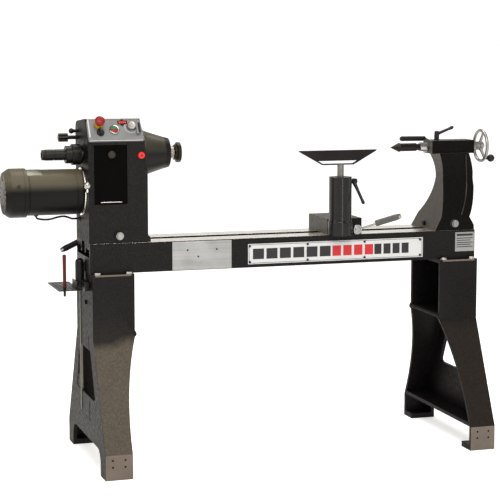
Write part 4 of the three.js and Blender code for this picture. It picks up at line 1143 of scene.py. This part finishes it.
# ---- Banjo ----
class LATHE_OT_banjo(bpy.types.Operator):
    """Banjo with its column, clamp lever, tool rest and the rest's lock"""

    bl_idname = "lathe.banjo"
    bl_label = "Banjo and tool rest"

    def execute(self, context):
        arm = casting("banjo")

        def radius_at(x, y, z):
            on_column = math.hypot(x - POST_X, y - POST_Y) < 46
            if z < BED_TOP + 2 or (on_column and z > BED_TOP + 60) or abs(y) < 90 and z < BED_TOP + 52:
                return 0.8
            return 4

        cast_edges(arm, radius_at, 4)
        # Left-facing and top faces take the paler 'side' enamel: painted light from the left.
        finished(arm, ("enamel", "side"), lambda x, y, z, normal: int(normal.x < -0.5 or normal.z > 0.9))
        done(arm, "banjo_casting", "banjo", None, ["banjo"])
        base = (POST_X, POST_Y, 0)
        foot = BED_TOP + 0.3
        column = [(foot, 43.6), (foot + 1, 44.6), (foot + 46, 44.6), (foot + 50, 43.4), (foot + 54, 41.8)]
        column += [(foot + 60, 41.2), (1003, 41.2), (1005, 40.4), (1006.2, 38.6)]
        column += [(1006.2, 20.4), (1000, 20.4)]
        column = turned(base, Z, column, 80)
        port = turned((POST_X + 20, POST_Y, SPINDLE_Z - 110), X, [(0, 5.5), (30, 5.5)], 24)
        bored(column, port)
        done(column, "banjo_column", "banjo", FINISH["gloss"], smooth=40)
        self.clamp()
        self.rest()
        return {"FINISHED"}

    def clamp(self):
        x, z = POST_X + 67, BED_TOP + 19
        shaft = turned((x, 0, z), Y, [(-134, 8.6), (-132.8, 10), (100, 10)], 48)
        hub = turned((x, 0, z), Y, [(-132, 16), (-130.5, 17.6), (-128, 18), (-97, 18.4), (-95, 17)], 56)
        done(merged(shaft, hub), "banjo_cam_shaft", "banjo_lever", FINISH["chrome"])
        lift = math.radians(14)
        way = Vector((math.cos(lift), 0, math.sin(lift)))
        name = "banjo_lever"
        clamp_handle(name, name, (x, -120, z), way, 178, name, 5.5, 74, 11.5, 12, "grey_grip")

    def rest(self):
        rest = casting("tool_rest")
        rounded(rest, 1.8, 3, 25)
        finished(rest, ("dark_steel", "nose"), lambda x, y, z, normal: int(z < SPINDLE_Z - 52))
        done(rest, "tool_rest_casting", "tool_rest", None, ["tool_rest"])
        z = SPINDLE_Z - 110
        x = POST_X + 41
        stud = [(0, 4), (1, 5), (25, 5), (25, 10), (26, 11), (39, 10), (41, 8)]
        stud = turned((POST_X + 22, POST_Y, z), X, stud, 40)
        foot = Vector((x + 10, POST_Y, z))
        tip = Vector((x + 30, POST_Y - 46, z - 74))
        way = (tip - foot).normalized()
        reach = (tip - foot).length
        arm = [(0, 8), (12, 7.2), (40, 5.6), (reach - 10, 5.4), (reach - 4, 6.3), (reach + 2, 6)]
        arm = turned(foot, way, arm + [(reach + 5.4, 3.4)], 40)
        lever = merged(stud, arm)
        black = FINISH["plastic"]
        done(lever, "rest_lock_moulding", "rest_lock_lever", black, ["rest_lock_lever"])


# ---- Tailstock ----
class LATHE_OT_tailstock(bpy.types.Operator):
    """Tailstock casting, quill, live centre, handwheel and their clamps"""

    bl_idname = "lathe.tailstock"
    bl_label = "Tailstock"

    def execute(self, context):
        tail = casting("tailstock_casting")

        def radius_at(x, y, z):
            near_bore = math.hypot(y, z - SPINDLE_Z) < 24
            near_cam = math.hypot(x - TAIL_RIGHT + 78, z - CAM_Z) < 12
            return 0.8 if z < BED_TOP + 2 or near_bore or near_cam else 5

        cast_edges(tail, radius_at, 5, 4)
        # The tailstock takes the darker 'shade' enamel (painted shade) except on its left-facing and top
        # faces, which take the paler 'side' enamel (painted light).
        finished(tail, ("shade", "side"), lambda x, y, z, normal: int(normal.x < -0.4 or normal.z > 0.9))
        done(tail, "tailstock_body", "tailstock", None, ["tailstock_casting"], 38)
        steps = [(8, 1068), (2, 1030), (-2, 990), (1, 950), (12, 910), (30, 875), (46, 850)]
        rib = swept([(TAIL_RIGHT - inset, -self.half_width(z) - 0.4, z) for inset, z in steps], 3)
        done(rib, "tailstock_rib", "tailstock", FINISH["gloss"])
        bolt = cap_screw((TAIL_RIGHT - 158 + 6, -4, 811), (-1, 0, 0.2), 9, 10)
        done(bolt, "tailstock_side_bolt", "tailstock", FINISH["dark_steel"])
        front = BARREL_LEFT - 35
        centre = (0, 0, SPINDLE_Z)
        quill = [(front, 9.3), (front, 16), (front + 1, 17), (front + 162, 17), (front + 164, 16)]
        quill += [(front + 164, 9.3)]
        quill += [(front + 1, 9.3)]
        quill = turned(centre, X, quill)
        done(quill, "quill_turned", "quill", FINISH["chrome"], ["quill"])
        tip = front - 117
        point = [(tip, 0.4), (tip + 3, 1.6), (tip + 33, 16.6), (tip + 35, 17.4), (tip + 36.5, 17)]
        point += [(tip + 37, 15)]
        point += [(tip + 60, 15), (tip + 60.6, 14.2), (tip + 62.4, 14.2), (tip + 63, 15), (tip + 103, 15)]
        point += [(tip + 104, 14), (tip + 104.5, 12), (front - 0.4, 12), (front - 0.4, 9), (front + 40, 8)]
        point = turned(centre, X, point)
        done(point, "live_centre_turned", "live_centre", FINISH["dark_steel"], ["live_centre"])
        self.handwheel()
        self.locks()
        return {"FINISHED"}

    def half_width(self, z):
        """Half of the casting's width at a height: it narrows to a waist below the barrel."""
        share = (z - BED_TOP) / (SPINDLE_Z - 22 - BED_TOP)
        if share < 0.66:
            t = (share - 0.17) / 0.49
            first, control, last = BED_HALF - 4, 50, 33
        else:
            t = (share - 0.66) / 0.36
            first, control, last = 33, 32, 52
        return (1 - t) ** 2 * first + 2 * t * (1 - t) * control + t * t * last

    def handwheel(self):
        start()
        bpy.ops.mesh.primitive_torus_add(
            location=at(WHEEL_X, 0, SPINDLE_Z),
            rotation=(0, math.pi / 2, 0),
            major_radius=57.5 * MM,
            minor_radius=6 * MM,
            major_segments=96,
            minor_segments=20,
        )
        bpy.ops.object.transform_apply(location=True, rotation=True, scale=True)
        rim = bpy.context.object
        hub = [(BARREL_RIGHT + 0.8, 8.4), (BARREL_RIGHT + 0.8, 18), (BARREL_RIGHT + 2, 19)]
        hub += [(BARREL_RIGHT + 20, 18.4), (BARREL_RIGHT + 22, 16.4), (WHEEL_X - 8, 15.6)]
        hub += [(WHEEL_X - 6, 17.6), (WHEEL_X + 4, 17), (WHEEL_X + 6, 15.2)]
        hub = turned((0, 0, SPINDLE_Z), X, hub)
        turn = math.radians(-128)
        spokes = []
        for i in range(3):
            out = Vector((0, math.cos(turn + i * math.tau / 3), math.sin(turn + i * math.tau / 3)))
            foot = Vector((WHEEL_X - 4, 0, SPINDLE_Z)) + out * 12
            way = Vector((WHEEL_X, 0, SPINDLE_Z)) + out * 57 - foot
            spokes.append(turned(foot, way, [(0, 7), (6, 6), (30, 4.6), (44, 5.4)], 24))
        wheel = merged(rim, hub, *spokes)
        done(wheel, "handwheel_plated", "handwheel", FINISH["satin_chrome"], ["handwheel"], 40)
        handle = Vector((WHEEL_X, 57.5 * math.cos(turn), SPINDLE_Z + 57.5 * math.sin(turn)))
        stem = turned(handle, X, [(5.8, 5), (7, 5.6), (14, 5), (20, 5.8)], 32)
        knob = globe(handle + X * 25.8, 14.3)
        ball = merged(stem, knob)
        done(ball, "wheel_handle_ball", "wheel_handle", FINISH["plastic"], ["wheel_handle"])
        nut = hex_bolt((WHEEL_X + 5.6, 0, SPINDLE_Z), X, 15, 7)
        done(nut, "handwheel_nut", "handwheel", FINISH["chrome"])

    def locks(self):
        x = BARREL_LEFT + 36
        top = SPINDLE_Z + 25
        hub = [(0.3, 10), (4, 10), (5, 8.8), (8, 8.8), (9, 9.8), (26, 9), (32, 8), (34, 6)]
        hub = turned((x, 0, top), Z, hub, 40)
        foot = Vector((x, 0, top + 22))
        way = Vector((60, -4, 24))
        arm = [(4, 6.6), (20, 5.4), (50, 5), (58, 6), (64, 6.6), (69, 5), (71, 2.6)]
        arm = turned(foot, way, arm, 40)
        lever = merged(hub, arm)
        black = FINISH["plastic"]
        done(lever, "quill_lock_moulding", "quill_lock_lever", black, ["quill_lock_lever"])
        x = BARREL_LEFT + 40
        z = top - 12
        hub = turned((x, 42.3, z), Y, [(0, 10), (27, 10), (28.6, 8.6)], 40)
        neck = turned((x, 64, z), (-28, 0, 13), [(4, 7.4), (31, 6)], 32)
        bar = [(0, 7), (3, 9.2), (60, 9.4), (98, 9.4), (102, 7.4), (104, 5)]
        bar = turned((x - 22, 64, z + 14), (-102, 0, 1), bar, 40)
        lever = merged(hub, neck, bar)
        name = "barrel_clamp_lever"
        done(lever, "barrel_clamp_moulding", name, black, [name])


# ---- Stage ----
class LATHE_OT_stage(bpy.types.Operator):
    """Camera, pale floor and soft studio lights"""

    bl_idname = "lathe.stage"
    bl_label = "Studio"

    def execute(self, context):
        bpy.ops.object.camera_add(location=(-1.8292, -5.6238, 1.502))
        camera = context.object
        aim = Vector((-0.029, 0, 0.7351))
        camera.rotation_euler = (aim - camera.location).to_track_quat("-Z", "Y").to_euler()
        camera.data.lens = 117.4
        context.scene.camera = camera
        start()
        bpy.ops.mesh.primitive_plane_add(size=400, location=(0, 0, 0))
        floor = context.object
        floor.name = "floor"
        material, tree, shader, place = blank(
            "Pale studio floor", Roughness=0.85, Emission_Color=(1, 1, 1, 1), Emission_Strength=0.42
        )
        speck = noise(tree, place, 500, 3.0)
        rgb = context.scene.lathe_colours.floor
        specked = blend(tree, span(tree, speck, 0, 1), tinted(rgb, 0.97), rgb)
        tree.links.new(specked, shader.inputs["Base Color"])
        floor.data.materials.append(material)
        world = bpy.data.worlds.new("Studio")
        world.use_nodes = True
        backdrop = world.node_tree.nodes["Background"]
        backdrop.inputs["Color"].default_value = (0.97, 0.96, 0.95, 1)
        upward = node(world.node_tree, "TexCoord").outputs["Generated"]
        height = node(world.node_tree, "SeparateXYZ", {0: upward})
        glow = span(world.node_tree, height.outputs["Z"], 1.06, 0.42, 0.05, 0.35)
        world.node_tree.links.new(glow, backdrop.inputs["Strength"])
        context.scene.world = world
        context.scene.view_settings.view_transform = "Standard"
        bpy.ops.object.light_add(type="SUN", rotation=(math.radians(38), 0, math.radians(-30)))
        context.object.data.energy = 1.3
        context.object.data.angle = math.radians(60)
        aim = Vector((0, 0, 0.9))
        for name, place, width, height, power, tone in (
            ("key", (-0.5, -3.6, 4.2), 2.6, 2.6, 142, "#fff1de"),
            ("fill", (3.6, -2.4, 2.4), 1.8, 1.8, 20, "#fff3e2"),
            ("top", (0.4, 0.8, 3.6), 2.0, 2.0, 75, "#fff8ee"),
            ("side", (-4.2, -1.4, 1.9), 2.4, 2.4, 34, "#ffe9cc"),
            ("back", (-1.7, 3.4, 1.0), 1.4, 1.4, 2.5, "#ffdcb0"),
            ("strip", (0.35, -3.4, 1.3), 0.35, 1.8, 14, "#ffffff"),
        ):
            bpy.ops.object.light_add(type="AREA", location=place)
            light = context.object
            light.name = name
            light.data.shape = "RECTANGLE"
            light.data.size = width
            light.data.size_y = height
            light.data.energy = power
            light.data.color = linear(tone)
            light.rotation_euler = (aim - light.location).to_track_quat("-Z", "Y").to_euler()
        return {"FINISHED"}


class LATHE_PT_builder(bpy.types.Panel):
    bl_label = "Wood Lathe"
    bl_idname = "LATHE_PT_builder"
    bl_space_type = "VIEW_3D"
    bl_region_type = "UI"
    bl_category = "Lathe"

    def draw(self, context):
        for group in (context.scene.lathe_sizes, context.scene.lathe_colours):
            column = self.layout.column()
            for name in group.bl_rna.properties.keys():
                if name not in ("rna_type", "name"):
                    column.prop(group, name)
        for operator in OPERATORS:
            self.layout.operator(operator.bl_idname)


OPERATORS = (
    LATHE_OT_stage,
    LATHE_OT_finishes,
    LATHE_OT_legs,
    LATHE_OT_bed,
    LATHE_OT_shelf,
    LATHE_OT_headstock,
    LATHE_OT_controls,
    LATHE_OT_spindle,
    LATHE_OT_motor,
    LATHE_OT_levers,
    LATHE_OT_banjo,
    LATHE_OT_tailstock,
)
CLASSES = (LatheSizes, LatheColours, *OPERATORS, LATHE_PT_builder)


def register():
    for cls in CLASSES:
        bpy.utils.register_class(cls)
    bpy.types.Scene.lathe_sizes = PointerProperty(type=LatheSizes)
    bpy.types.Scene.lathe_colours = PointerProperty(type=LatheColours)


def unregister():
    del bpy.types.Scene.lathe_colours
    del bpy.types.Scene.lathe_sizes
    for cls in reversed(CLASSES):
        bpy.utils.unregister_class(cls)


def main():
    register()
    for operator in OPERATORS:
        group, name = operator.bl_idname.split(".")
        getattr(getattr(bpy.ops, group), name)()


if __name__ == "__main__":
    main()
